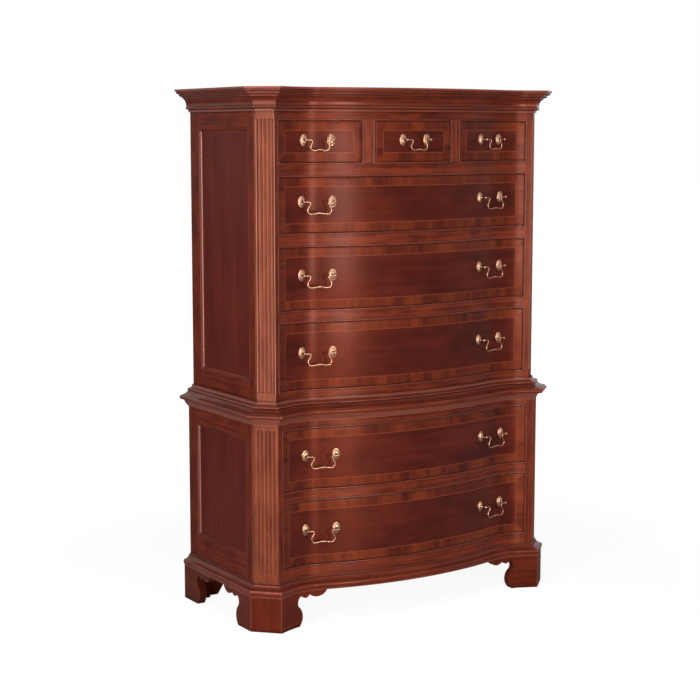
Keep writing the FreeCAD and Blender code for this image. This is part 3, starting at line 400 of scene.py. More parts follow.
def fronted(plan, out, x_span, z_span, back, seed, radius=0.0, housing=None):
    """A board whose face follows the front outline, with a flat back and softened arrises. A
    drawer front has a housing, its width, its top and its bed, cut behind both ends for the
    drawer sides. Its back is bare, and its face is marked with the distances from its edges."""
    stock = Stock(seed)
    columns = softened(*x_span, radius, CURVE_PITCH)
    levels = softened(*z_span, radius, z_span[1] - z_span[0])
    if housing:
        wide, top, bed = housing
        shoulders = (x_span[0] + wide, x_span[1] - wide)
        columns = sorted(columns + [(shoulder, 0.0) for shoulder in shoulders])
        levels = sorted(levels + [(top, 0.0)])
    travelled = measured([Vector((x, plan.front(x, out))) for x, _ in columns])
    rows = []
    for level, inset in levels:
        row = []
        for (x, lean), along in zip(columns, travelled):
            corner = stock.point(x, plan.front(x, out) + inset + lean, level)
            row.append((corner, (along, level)))
            if housing:
                stock.marks[corner] = ((along, level - z_span[0]),
                                       (travelled[-1] - along, z_span[1] - level))
        rows.append(row)
    stock.lay(rows)
    right_hand = [row[-1] for row in rows[1:-1]]
    left_hand = [row[0] for row in rows[1:-1]]
    rim = [corner for corner, _ in rows[0] + right_hand + rows[-1][::-1] + left_hand[::-1]]
    if housing:
        feet = [rows[0][[x for x, _ in columns].index(shoulder)][0] for shoulder in shoulders]
        level = rows[[level for level, _ in levels].index(top)]
        housed(stock, rim, [*feet, level[-1][0], level[0][0]], shoulders, back, top, bed)
    else:
        behind = stock.set_back(rim, back)
        stock.skirt(rim + rim[:1], behind + behind[:1])
        stock.face(behind)
    return stock


def housed(stock, rim, turns, shoulders, back, top, bed):
    """The edges and the back of a drawer front, with the steps that its sides fit into. The rim
    is parted at its turns into what goes back to the back and what goes to the housings' beds."""
    stretches = []
    for start, end in zip(turns, turns[1:] + turns[:1]):
        round_again = rim[rim.index(start):] + rim[:rim.index(start)]
        stretches.append(round_again[:round_again.index(end) + 1])
    under, right, over, left = stretches
    behind, beds = ({corner: rear for part in parts
                     for corner, rear in zip(part, stock.set_back(part, depth))}
                    for parts, depth in (((under, over), back), ((right, left), bed)))
    for part in (right, left):
        stock.skirt(part, [beds[corner] for corner in part], finish=1)
    for part in (under, over):
        last = len(part) - 2
        for at, (one, other) in enumerate(zip(part, part[1:])):
            ring = [one, other, *([beds[other]] if at == last else []), behind[other], behind[one]]
            stock.face(ring + ([beds[one]] if at == 0 else []), finish=1)
    outline = []
    for part, across, x in ((right, under, shoulders[1]), (left, over, shoulders[0])):
        shallow, deep = stock.point(x, bed, top), stock.point(x, back, top)
        stock.face([beds[corner] for corner in part] + [shallow], finish=1)
        for corner in (part[0], part[-1]):
            stock.face([beds[corner], behind[corner], deep, shallow], finish=1)
        outline += [behind[corner] for corner in across] + [deep]
    stock.face(outline, finish=1)


# ------------------------------------------------------------------ materials
def add(tree, kind, settings=(), links=()):
    """Adds a node with its settings and the links into it, a node given as a link standing for
    its first output."""
    node = tree.nodes.new("ShaderNode" + kind)
    for key, value in dict(settings).items():
        if isinstance(key, str) and key[0].islower():
            setattr(node, key, value)
        else:
            node.inputs[key].default_value = value
    for key, source in dict(links).items():
        output = source.outputs[0] if isinstance(source, bpy.types.Node) else source
        tree.links.new(output, node.inputs[key])
    return node


def blank(name):
    """A new material and its empty node tree."""
    material = bpy.data.materials.new(name)
    material.use_nodes = True
    material.node_tree.nodes.clear()
    return material, material.node_tree


def opaque(code):
    return (*code, 1)


# The figure of a wood is three patterns, each given by the length and width of one mark in
# millimetres: streaks of darker wood, broad ribbons and bundles of fibres. Single fibres are about
# 0.1 mm wide, too fine to show, so the bundles are drawn 2.2 mm wide.
def figured(tree, along, deep, warm, streak=(340, 8.5), ribbon=(100, 45), fibre=(30, 2.2),
            shares=(0.42, 0.40, 0.18), spread=(0.33, 0.68)):
    """Colour and height of a wood whose grain runs along x of the given vector."""
    tones = []
    for size, detail in ((streak, 3), (ribbon, 2), (fibre, 3)):
        long, wide = (1 / (span * MM) for span in size)
        stretched = add(tree, "VectorMath", {"operation": "MULTIPLY", 1: (long, wide, wide)},
                        {0: along})
        tones.append(add(tree, "TexNoise", {"Scale": 1, "Detail": detail, "Roughness": 0.55,
                                            "Distortion": 0.25}, {"Vector": stretched}))
    total = add(tree, "Math", {"operation": "MULTIPLY", 1: shares[0]}, {0: tones[0]})
    for tone, share in zip(tones[1:], shares[1:]):
        total = add(tree, "Math", {"operation": "MULTIPLY_ADD", 1: share}, {0: tone, 2: total})
    level = add(tree, "MapRange", {"interpolation_type": "SMOOTHSTEP", "From Min": spread[0],
                                   "From Max": spread[1]}, {"Value": total})
    mixed = add(tree, "Mix", {"data_type": "RGBA", 6: opaque(deep), 7: opaque(warm)}, {0: level})
    return mixed.outputs[2], tones[2]


def lacquered(tree, colour_out, height, gloss=0.42, level=0.30, tint="#ff825c", depth=0.03,
              drawn=0.80, coat=0.02, glaze=0.7, hollow=13, worn=0.3, thin=2.4, edge="#8e5243"):
    """A lacquered wood surface: the red sheen of the fibres, drawn out across the grain as on
    brushed threads, a thin clear coat over it, painted shade that darkens the colour in the
    hollows, creases and undersides, and the edges painted paler, partly as wear and partly as
    painted highlight. The grain's depth, the hollows' width and the edges' width are in
    millimetres."""
    if glaze:
        # Painted shade: ambient occlusion darkens the colour in hollows, creases and under mouldings
        shade_occlusion = add(tree, "AmbientOcclusion", {"samples": 8, "Distance": hollow * MM})
        left = add(tree, "MapRange", {"From Min": 0.45, "From Max": 0.95, "To Min": 1 - glaze},
                   {"Value": shade_occlusion.outputs["AO"]})
        # Partly wear and partly painted highlight: occlusion from inside pales the colour towards the
        # edge colour along thin edges
        within = add(tree, "AmbientOcclusion", {"inside": True, "samples": 6, "Distance": thin * MM})
        wear_and_highlight_share = add(tree, "MapRange", {"From Min": 0.5, "From Max": 0.9,
                                        "To Min": worn, "To Max": 0}, {"Value": within.outputs["AO"]})
        wear_and_highlight_colour = add(tree, "Mix", {"data_type": "RGBA", 7: opaque(shade(edge))},
                      {0: wear_and_highlight_share, 6: colour_out})
        colour_out = add(tree, "VectorMath", {"operation": "SCALE"},
                         {0: wear_and_highlight_colour.outputs[2], "Scale": left})
    rough = add(tree, "MapRange", {"From Min": 0.2, "From Max": 0.8, "To Min": gloss - 0.05,
                                   "To Max": gloss + 0.06}, {"Value": height})
    bump = add(tree, "Bump", {"Strength": 0.5, "Distance": depth * MM}, {"Height": height})
    links = {"Base Color": colour_out, "Roughness": rough, "Normal": bump}
    if drawn:
        links["Tangent"] = add(tree, "Tangent", {"direction_type": "UV_MAP", "uv_map": "grain"})
    surface = add(tree, "BsdfPrincipled", {"IOR": 1.5, "Specular IOR Level": level,
                                           "Specular Tint": opaque(shade(tint)),
                                           "Anisotropic": drawn, "Anisotropic Rotation": 0.25,
                                           "Coat Weight": coat, "Coat Roughness": 0.2}, links)
    add(tree, "OutputMaterial", links={"Surface": surface})


def grain_of(tree, axis=None):
    """Where the grain runs: as it was laid on a piece, or along x or y of a plain board."""
    if axis is None:
        return add(tree, "UVMap", {"uv_map": "grain"})
    place = add(tree, "TexCoord").outputs["Object"]
    turned_back = {"Rotation": (0, 0, -math.pi / 2)}
    return add(tree, "Mapping", turned_back, {"Vector": place}) if axis else place


def wood(title, deep, warm, axis=None, figure=None, **lacquer):
    """A whole wood: where its grain runs, its figure and its finish."""
    material, tree = blank(title)
    tones = figured(tree, grain_of(tree, axis), deep, warm, **(figure or {}))
    lacquered(tree, *tones, **lacquer)
    return material


# A bare wood has no lacquer: no sheen, no coat, no painted shade, and its pores are open
BARE = {"gloss": 0.7, "tint": "#ffffff", "depth": 0.08, "drawn": 0.0, "coat": 0.0, "glaze": 0.0}
GROWTH_LINES = {"streak": (600, 6), "ribbon": (500, 30)}
# the width of one back board, in millimetres
BACK_BOARD = 152.5


class Finishes:
    """The materials of the chest, made once."""

    made = {}

    @classmethod
    def get(cls, name):
        if name not in cls.made:
            cls.made[name] = getattr(cls, name)(bpy.context.scene.chest_finish)
        return cls.made[name]

    # Solid cherry, planed, stained and lacquered: fine straight grain with soft darker streaks,
    # and deep painted shade in its hollows, 20 mm across
    @staticmethod
    def cherry(finish):
        return wood("lacquered_cherry", finish.cherry_deep, finish.cherry_warm,
                    figure={"spread": (0.40, 0.60)}, tint="#ff906e", glaze=0.85, hollow=20)

    # The same cherry rubbed down to a softer shine, on the sides, with painted shade in its
    # hollows and its edges painted only a little paler
    @staticmethod
    def cherry_soft(finish):
        return wood("rubbed_cherry", finish.cherry_deep, finish.cherry_warm,
                    level=0.05, drawn=0.0, coat=0.0, worn=0.1)

    # The same cherry on the feet, painted darker than the rest as painted shade near the floor
    @staticmethod
    def cherry_foot(finish):
        return wood("shade_darkened_cherry", finish.foot_deep, finish.foot_warm,
                    level=0.12, drawn=0.0, coat=0.0)

    # The same cherry run into mouldings, with deep painted shade in its hollows and under its
    # rounds, and its rounds and edges painted paler, partly as polish from dusting and partly as
    # painted highlight
    @staticmethod
    def cherry_moulded(finish):
        return wood("moulded_cherry", finish.cherry_deep, finish.cherry_warm, gloss=0.32,
                    level=0.18, drawn=0.0, coat=0.06, glaze=0.85, hollow=24, worn=0.42, thin=7)

    # The same cherry on the thin beads round the drawers, its edges painted a little paler,
    # partly where hands rub it and partly as painted highlight, with painted shade in the hollows
    # beside them
    @staticmethod
    def cherry_bead(finish):
        return wood("beaded_cherry", finish.cherry_deep, finish.cherry_warm, gloss=0.34,
                    tint="#ffa890", drawn=0.0, coat=0.18, glaze=0.5, worn=0.12)

    # The same cherry on the upright mouldings of the side panels, where the lacquer lies thick,
    # its edges painted pale, partly as wear and partly as painted highlight
    @staticmethod
    def cherry_bright(finish):
        return wood("thickly_lacquered_cherry", finish.cherry_deep, finish.cherry_warm,
                    drawn=0.0, coat=0.9, worn=0.8, edge="#a8685a")

    # The corner posts, from straighter and paler boards that the stain leaves more golden, with
    # deep painted shade in the flutes and their fillets and edges painted paler, partly as wear
    # and partly as painted highlight
    @staticmethod
    def cherry_post(finish):
        return wood("lacquered_cherry_post", finish.post_deep, finish.post_warm, tint="#ffa488",
                    glaze=0.85, worn=0.5, thin=3, edge="#b5755f")

    # The same cherry on the flat top board, its grain along the front
    @staticmethod
    def cherry_top(finish):
        return wood("lacquered_cherry_top", finish.cherry_deep, finish.cherry_warm, axis=0,
                    drawn=0.0)

    # Knife-cut cherry veneer on the drawer fronts: a dark mottled field, a boxwood string and a
    # warmer cross-cut banding mitred at the corners, all under one coat of lacquer
    @staticmethod
    def drawer_veneer(finish):
        material, tree = blank("banded_drawer_veneer")
        detail = bpy.context.scene.chest_detail
        band, half_string = detail.band_width, detail.string_width / 2
        near, far = (add(tree, "SeparateXYZ", links={0: add(tree, "UVMap", {"uv_map": title})})
                     for title in ("near_edges", "far_edges"))
        upright, level = (add(tree, "Math", {"operation": "MINIMUM"},
                              {0: near.outputs[at], 1: far.outputs[at]}) for at in (0, 1))
        edge = add(tree, "Math", {"operation": "MINIMUM"}, {0: upright, 1: level})
        in_band = add(tree, "Math", {"operation": "LESS_THAN", 1: band}, {0: edge})
        in_end = add(tree, "Math", {"operation": "LESS_THAN"}, {0: upright, 1: level})
        in_string = add(tree, "Math", {"operation": "COMPARE", 1: band, 2: half_string}, {0: edge})
        along = grain_of(tree)
        field, height = figured(tree, along, finish.field_deep, finish.field_warm,
                                ribbon=(160, 100), streak=(500, 20), shares=(0.3, 0.52, 0.18))
        across = add(tree, "Mapping", {"Rotation": (0, 0, math.pi / 2)}, {"Vector": along})
        rail_band, end_band = (figured(tree, run, finish.band_deep, finish.band_warm,
                                       streak=(200, 12), ribbon=(300, wide),
                                       shares=(0.24, 0.62, 0.14))[0]
                               for run, wide in ((across, 70), (along, 50)))
        banding = add(tree, "Mix", {"data_type": "RGBA"}, {0: in_end, 6: rail_band, 7: end_band})
        veneer = add(tree, "Mix", {"data_type": "RGBA"},
                     {0: in_band, 6: field, 7: banding.outputs[2]})
        lined = add(tree, "Mix", {"data_type": "RGBA", 7: opaque(finish.string)},
                    {0: in_string, 6: veneer.outputs[2]})
        # painted shade at the gaps round the front, and its edges painted paler, partly as wear and
        # partly as painted highlight
        lacquered(tree, lined.outputs[2], height)
        return material

    # Crown-cut cherry veneer on the flat side panels, its grain upright
    @staticmethod
    def side_veneer(finish):
        return wood("side_panel_veneer", finish.side_deep, finish.side_warm,
                    figure={"ribbon": (350, 70), "streak": (700, 14)}, level=0.09, coat=0.0)

    # Unfinished tulipwood and pine inside: pale, matt, with plain growth lines
    @staticmethod
    def inside_wood(finish):
        return wood("inside_wood_x", finish.inner_deep, finish.inner_warm, 0, GROWTH_LINES, **BARE)

    # The same with its grain from front to back, in the drawer sides and guides
    @staticmethod
    def inside_wood_deep(finish):
        return wood("inside_wood_y", finish.inner_deep, finish.inner_warm, 1, GROWTH_LINES, **BARE)

    # The same behind the drawer fronts, where scene pieces have their grain laid on them
    @staticmethod
    def inside_wood_worked(finish):
        return wood("inside_wood_worked", finish.inner_deep, finish.inner_warm,
                    figure=GROWTH_LINES, **BARE)

    # Pine boards across the back, tongued together, each a little different in tone
    @staticmethod
    def back_boards(finish):
        material, tree = blank("pine_back_boards")
        place = add(tree, "TexCoord").outputs["Object"]
        height_of = add(tree, "SeparateXYZ", links={0: place}).outputs[2]
        row = add(tree, "Math", {"operation": "DIVIDE", 1: BACK_BOARD * MM}, {0: height_of})
        board = add(tree, "Math", {"operation": "FLOOR"}, {0: row})
        chance = add(tree, "TexWhiteNoise", {"noise_dimensions": "1D"}, {"W": board})
        shifted = add(tree, "VectorMath", {"operation": "MULTIPLY_ADD", 1: (3, 3, 3)},
                      {0: chance.outputs["Color"], 2: place})
        colour_out, height = figured(tree, shifted, finish.inner_deep, finish.inner_warm,
                                     streak=(700, 12), ribbon=(500, 30), fibre=(60, 2.5))
        apart = add(tree, "Math", {"operation": "PINGPONG", 1: 0.5}, {0: row})
        joint = add(tree, "MapRange", {"From Min": 0.004, "From Max": 0.010, "To Min": 0.25,
                                       "To Max": 1}, {"Value": apart})
        tone = add(tree, "MapRange", {"To Min": 0.62, "To Max": 0.92},
                   {"Value": chance.outputs["Value"]})
        shaded = add(tree, "Math", {"operation": "MULTIPLY"}, {0: tone, 1: joint})
        boards = add(tree, "VectorMath", {"operation": "SCALE"}, {0: colour_out, "Scale": shaded})
        lacquered(tree, boards, height, **BARE)
        return material

    # Cast and polished brass: warm, a little worn on the rounds and dull in the hollows, with
    # clouds of tarnish about 6 mm across
    @staticmethod
    def brass(finish):
        material, tree = blank("polished_brass")
        place = add(tree, "TexCoord").outputs["Object"]
        cloud = add(tree, "TexNoise", {"Scale": 1 / (6.25 * MM), "Detail": 3},
                    {"Vector": place}).outputs["Fac"]
        hollow = add(tree, "AmbientOcclusion", {"samples": 8, "Distance": 6 * MM}).outputs["AO"]
        dull = add(tree, "Math", {"operation": "MULTIPLY", 1: 0.25}, {0: cloud})
        clean = add(tree, "Math", {"operation": "SUBTRACT"}, {0: hollow, 1: dull})
        level = add(tree, "MapRange", {"From Min": 0.3, "From Max": 0.88}, {"Value": clean})
        metal = add(tree, "Mix", {"data_type": "RGBA", 6: opaque(finish.tarnish),
                                  7: opaque(finish.brass)}, {0: level}).outputs[2]
        rough = add(tree, "MapRange", {"To Min": 0.48, "To Max": 0.33}, {"Value": level})
        bump = add(tree, "Bump", {"Strength": 0.05, "Distance": 0.05 * MM}, {"Height": cloud})
        surface = add(tree, "BsdfPrincipled", {"Metallic": 1},
                      {"Base Color": metal, "Roughness": rough, "Normal": bump})
        add(tree, "OutputMaterial", links={"Surface": surface})
        return material

    # Matt white paper under the chest: near the chest it keeps the soft shadow, and farther off
    # it clears to plain white for the camera
    @staticmethod
    def white_paper(finish):
        material, tree = blank("white_paper")
        camera_ray = add(tree, "LightPath").outputs["Is Camera Ray"]
        paper = add(tree, "BsdfDiffuse", {"Color": (0.6, 0.6, 0.6, 1)})
        place = add(tree, "TexCoord").outputs["Object"]
        away = add(tree, "VectorMath", {"operation": "LENGTH"}, {0: place}).outputs["Value"]
        clear = add(tree, "MapRange", {"interpolation_type": "SMOOTHSTEP", "From Min": 0.9,
                                       "From Max": 2.6, "To Min": 1.16, "To Max": 1.3}, {"Value": away})
        glow = add(tree, "Emission", {"Color": (1, 1, 1, 1)}, {"Strength": clear})
        share = add(tree, "Math", {"operation": "MULTIPLY", 1: 0.8}, {0: camera_ray})
        mixed = add(tree, "MixShader", links={0: share, 1: paper, 2: glow})
        add(tree, "OutputMaterial", links={"Surface": mixed})
        return material


# ------------------------------------------------------------------ levels of the chest
# heights above the floor, in millimetres
OVERALL = 1600
UPPER_CASE = (666, 1582)
LOWER_CASE = (144, 640)
WAIST_BOARD = 648
FOOT_TOP = 105
SHORT_ROW = (1382, 1504)
UPPER_RAILS = {"sill": (UPPER_CASE[0], 711), "under_5": (910, 949), "under_4": (1134, 1176),
               "under_short": (1340, SHORT_ROW[0]), "frieze": (SHORT_ROW[1], UPPER_CASE[1])}
LOWER_RAILS = {"bottom": (LOWER_CASE[0], 180), "between": (375, 412), "head": (595, LOWER_CASE[1])}
# places from the middle, thicknesses and clearances, in millimetres
DIVIDER = (137.5, 178)
POST_EDGE = 450
POST_RETURN = 15
FOOT_BOARD = 24
CASE_SIDE = 22
PANEL_SUNK = 7
GAP = 1.2
CURVE_PITCH = 9
HANDS = ((1, "right"), (-1, "left"))
# the two sizes of pull: between its posts, above the drawer's middle, the neck's place and the drop
SMALL_PULL = {"spacing": 85, "rise": 5, "neck": 22.5, "drop": 31}
LARGE_PULL = {"spacing": 96, "rise": 10, "neck": 28, "drop": 35.6}
PULL_PLACE = 316.5
PULL_STAND = 25


class Opening:
    """One drawer opening, its place and the kind of pulls on its front."""

    def __init__(self, number, x_span, z_span):
        self.number = number
        self.lower = z_span[1] < LOWER_CASE[1]
        self.x_span = x_span
        self.z_span = z_span
        self.short = x_span[1] - x_span[0] < POST_EDGE
        self.pull = SMALL_PULL if self.short else LARGE_PULL

    def out(self, plan):
        return plan.step if self.lower else 0.0

    def pulls(self):
        """Name and middle of each pull."""
        if self.short:
            return [("%d" % self.number, sum(self.x_span) / 2)]
        return [("%d_left" % self.number, -PULL_PLACE), ("%d_right" % self.number, PULL_PLACE)]


def between(rails, under, over):
    """The heights of the opening between two rails."""
    return rails[under][1], rails[over][0]


FULL = (-POST_EDGE, POST_EDGE)
OPENINGS = [
    Opening(1, (-POST_EDGE, -DIVIDER[1]), SHORT_ROW),
    Opening(2, (-DIVIDER[0], DIVIDER[0]), SHORT_ROW),
    Opening(3, (DIVIDER[1], POST_EDGE), SHORT_ROW),
    Opening(4, FULL, between(UPPER_RAILS, "under_4", "under_short")),
    Opening(5, FULL, between(UPPER_RAILS, "under_5", "under_4")),
    Opening(6, FULL, between(UPPER_RAILS, "sill", "under_5")),
    Opening(7, FULL, between(LOWER_RAILS, "between", "head")),
    Opening(8, FULL, between(LOWER_RAILS, "bottom", "between")),
]


def plan_now():
    """The plan with the sizes that are set now."""
    return Plan(bpy.context.scene.chest_plan)


# ------------------------------------------------------------------ operators
class CHEST_OT_mouldings(bpy.types.Operator):
    """Cornice, waist mouldings and base moulding, mitred round the canted corners"""

    bl_idname = "chest.mouldings"
    bl_label = "Mouldings"

    def execute(self, context):
        plan = plan_now()
        out, foot = plan.step, plan.foot
        cornice = walked((0, OVERALL), (52.3, 0), (0, -6), (-2.5, -1), (-2, 0), (-7.5, -7, 0.3),
                         (0, -1.4), (-2.5, 0), (-7, -7, 0.28), (-3, -1), (0, -2.5),
                         (-13.5, -22.5, -0.17), (-1.3, 0), (0, -3), (-2.5, 0), (1, -9, 0.48),
                         (-3.5, -1.1), (-2, -1), (0, -6.5), (-6, 0))
        bead = walked((0, UPPER_CASE[0]), (17.5, 0), (0, 8, -0.5), (-2.5, 0), (0, 1.5), (-1.5, 0),
                      (-8, 8, 0.24), (-1.5, 0), (0, 2.5))
        cove = walked((out, 617), (3, 0), (0, 3), (12, 15, 0.2), (0, 2), (2, 0), (0, 3))
        nose = walked((0, WAIST_BOARD), (0, -8), (out + 25.3, 0), (0, 14, -0.45), (-3, 0), (0, 1.5),
                      (-19.5, 10, 0.1))
        nose[-1].y = UPPER_CASE[0]
        nose = [place for place in nose if place.y <= UPPER_CASE[0]] + [Vector((0, UPPER_CASE[0]))]
        inside = out - 26
        base = walked((inside, FOOT_TOP), (foot - inside, 0), (0, 5), (1, 0), (0, 1),
                      (0, 14, -0.16), (-2, 0), (0, 1), (-2, 0), (-13, 12, 0.16), (-1.5, 0),
                      (0, 1.5), (-2.6, 0), (0, 4.5))
        base += [Vector((inside, base[-1].y))]
        back_rail = Stock(7)
        back_rail.board((-plan.half, BACK - CASE_SIDE, FOOT_TOP), (plan.half, BACK, LOWER_CASE[0]))
        for name, stock, node in (
                ("cornice_moulding", moulding(plan, cornice, 1), "cornice"),
                ("waist_bead", moulding(plan, bead, 2), "waist_mouldings"),
                ("waist_cove", moulding(plan, cove, 3), None),
                ("waist_nosing", moulding(plan, nose, 4), "lower_top_board"),
                ("lower_top", slab(plan, WAIST_BOARD, UPPER_CASE[0], 5), None),
                ("base_ring", moulding(plan, base, 6), "base_moulding"),
                ("base_back_rail", back_rail, None)):
            piece = stock.made(name, "carcass", "cherry", "cherry_moulded")
            if node:
                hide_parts(node)
        return {"FINISHED"}


class CHEST_OT_rails(bpy.types.Operator):
    """Front rails between the drawers and the dividers of the short drawers"""

    bl_idname = "chest.rails"
    bl_label = "Rails"

    def execute(self, context):
        plan = plan_now()
        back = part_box("upper_front_rails")[1].y / MM
        seed = 10
        for title, rails, out in (("upper", UPPER_RAILS, 0.0), ("lower", LOWER_RAILS, plan.step)):
            for name, span in rails.items():
                seed += 1
                piece = fronted(plan, out, FULL, span, back, seed).made(
                    "%s_rail_%s" % (title, name), "carcass", "cherry", "cherry")
                if name in ("sill", "bottom"):
                    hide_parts(title + "_front_rails")
        for mirror, hand in HANDS:
            seed += 1
            stock = fronted(plan, 0.0, sorted(mirror * x for x in DIVIDER), SHORT_ROW, back, seed)
            stock.grain = [[(across, along) for along, across in ring] for ring in stock.grain]
            piece = stock.made("divider_" + hand, "carcass", "cherry", "cherry")
            if hand == "right":
                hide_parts("short_drawer_dividers")
        return {"FINISHED"}


class CHEST_OT_posts(bpy.types.Operator):
    """Corner posts with stopped flutes down their canted faces"""

    bl_idname = "chest.posts"
    bl_label = "Corner posts"

    def execute(self, context):
        plan = plan_now()
        detail = context.scene.chest_detail
        width, pitch, depth = (value / MM for value in (detail.flute_width, detail.flute_pitch,
                                                        detail.flute_depth))
        radius = (width ** 2 / 4 + depth ** 2) / (2 * depth)
        # each case's posts: the step out, their ends, and the ends of their flutes
        for title, out, (low, high), (foot, head) in (("upper", 0.0, UPPER_CASE, (710, 1509)),
                                                      ("lower", plan.step, LOWER_CASE, (170, 603))):
            front, side = plan.breaks(out)
            breadth = (side - front).length
            way = (side - front) / breadth
            inward = Vector((-way.y, way.x))
            rounds = [width / 2 * (1 - math.cos(math.pi / 2 * n / 5)) for n in range(6)]
            levels = [low, *(foot + rise for rise in rounds), *(head - drop for drop in rounds[::-1])]
            levels.append(high)
            middles = [breadth / 2 + count * pitch for count in range(-2, 3)]
            places = [middle + width / 2 * math.sin(math.pi / 2 * n / 5)
                      for middle in middles for n in range(-5, 6)]

            def sunk(across, level):
                offset = min((across - middle for middle in middles), key=abs)
                beyond = max(foot + width / 2 - level, level - head + width / 2, 0)
                spare = radius ** 2 - offset ** 2 - beyond ** 2
                return max(math.sqrt(spare) - radius + depth, 0) if spare > 0 else 0

            for mirror, hand in HANDS:
                stock = Stock(20 + mirror + out)
                edge = Vector((POST_EDGE, plan.front(POST_EDGE, out)))
                rear = side + Vector((0, POST_RETURN))
                start = (front - edge).length
                lines = []
                for level in levels:
                    line = [(edge, 0.0), (front, start)]
                    line += [(front + way * across + inward * sunk(across, level), start + across)
                             for across in places]
                    line += [(side, start + breadth), (rear, start + breadth + POST_RETURN),
                             (Vector((POST_EDGE, rear.y)), start + breadth + POST_RETURN + 60),
                             (edge, start + breadth + POST_RETURN + 120)]
                    lines.append(stock.ring([(spot.x * mirror, spot.y, level) for spot, _ in line[:-1]],
                                            [(level, across) for _, across in line]))
                stock.lay([line[:2] for line in lines], finish=1)
                stock.lay([line[1:] for line in lines])
                stock.cap(lines[0], lines[-1])
                piece = stock.made("%s_post_%s" % (title, hand), "carcass", "cherry",
                                   "cherry_post", "cherry")
                if hand == "right":
                    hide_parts(title + "_corner_posts")
        return {"FINISHED"}


class CHEST_OT_fronts(bpy.types.Operator):
    """Drawer fronts with their field, string line and cross-banding"""

    bl_idname = "chest.fronts"
    bl_label = "Drawer fronts"

    def execute(self, context):
        plan = plan_now()
        detail = context.scene.chest_detail
        radius, side = detail.front_arris / MM, detail.drawer_side / MM
        for opening in OPENINGS:
            node = "drawer_front_%d" % opening.number
            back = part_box(node)[1].y / MM
            spans = [(low + GAP, high - GAP) for low, high in (opening.x_span, opening.z_span)]
            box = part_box("drawer_box_%d" % opening.number)
            stock = fronted(plan, opening.out(plan), *spans, back, 30 + opening.number, radius,
                            housing=(side, box[1].z / MM, box[0].y / MM))
            piece = stock.made("veneered_front_%d" % opening.number,
                               "drawer_%d" % opening.number, "drawer_veneer",
                               "drawer_veneer", "inside_wood_worked")
            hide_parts(node)
        return {"FINISHED"}


class CHEST_OT_beads(bpy.types.Operator):
    """Cock beads round every drawer opening, mitred at the corners"""

    bl_idname = "chest.beads"
    bl_label = "Cock beads"

    def execute(self, context):
        plan = plan_now()
        detail = context.scene.chest_detail
        wide, proud = detail.bead_width / MM, detail.bead_proud / MM
        turns = [math.pi * n / 8 for n in range(9)]
        section = [(0.0, -0.5)] + [(wide / 2 * (1 - math.cos(turn)), proud * math.sin(turn) ** 0.8)
                                   for turn in turns[1:-1]] + [(wide, -0.5)]
        for opening in OPENINGS:
            stock = Stock(40 + opening.number)
            out = opening.out(plan)
            spans = (opening.x_span, opening.z_span)
            # under and over the opening, then at its left and right
            for upright, end in ((0, 0), (0, 1), (1, 0), (1, 1)):
                flats = 1 if upright else int((spans[0][1] - spans[0][0]) / CURVE_PITCH)
                rows = []
                for step in range(flats + 1):
                    shares = (end, step / flats) if upright else (step / flats, end)
                    spots = [[low - away + (high - low + 2 * away) * share
                              for (low, high), share in zip(spans, shares)] for away, _ in section]
                    grain = [(spot[upright], away) for spot, (away, _) in zip(spots, section)]
                    rows.append(stock.ring([(x, plan.front(x, out + stand), level)
                                            for (x, level), (_, stand) in zip(spots, section)],
                                           grain + [(grain[0][0], 8)]))
                stock.lay(rows)
                stock.cap(rows[0], rows[-1])
            stock.made("cock_beads_%d" % opening.number, "carcass", "cherry", "cherry_bead")
        return {"FINISHED"}


def side_frame(seed, spans, y_spans, z_spans):
    """Two stiles with two rails between them: the edges of the stiles from the front to the back,
    and those of the rails from the bottom up."""
    stock = Stock(seed)
    front, near, far, back = y_spans
    low, under, over, high = z_spans
    for y_span, z_span, axis in (((front, near), (low, high), 2), ((far, back), (low, high), 2),
                                 ((near, far), (over, high), 1), ((near, far), (low, under), 1)):
        stock.board(*zip(spans, y_span, z_span), axis)
    return stock


def sticking(seed, surface, mirror, y_span, z_span):
    """The fillet and ovolo round a panel, from the frame's face down to the panel."""
    stock = Stock(seed)
    start, ovolo, drop = 1.4, 6.6, 5.4
    moulded = [(0.0, PANEL_SUNK), (0.0, 0.5), (start, 0.5), (start, 0.9)]
    moulded += [(start + reach, 0.9 + drop * (reach / ovolo) ** 1.25)
                for reach in (ovolo * n / 6 for n in range(1, 7))]
    moulded += [(10.5, 6.3), (10.5, PANEL_SUNK)]
    loops = []
    for inset, sunk in moulded:
        near, far = y_span[0] + inset, y_span[1] - inset
        under, over = z_span[0] + inset, z_span[1] - inset
        loops.append([stock.point(mirror * (surface - sunk), *corner) for corner in
                      ((near, under), (far, under), (far, over), (near, over))])
    for step, (one, other) in enumerate(zip(loops, loops[1:] + loops[:1])):
        for at in range(4):
            axis = 2 if at % 2 else 1
            then = (at + 1) % 4
            ring = [one[at], one[then], other[then], other[at]]
            stock.face(ring, [(stock.points[corner][axis], 3 * (step + (place > 1)))
                              for place, corner in enumerate(ring)], 1 - at % 2)
    return stock


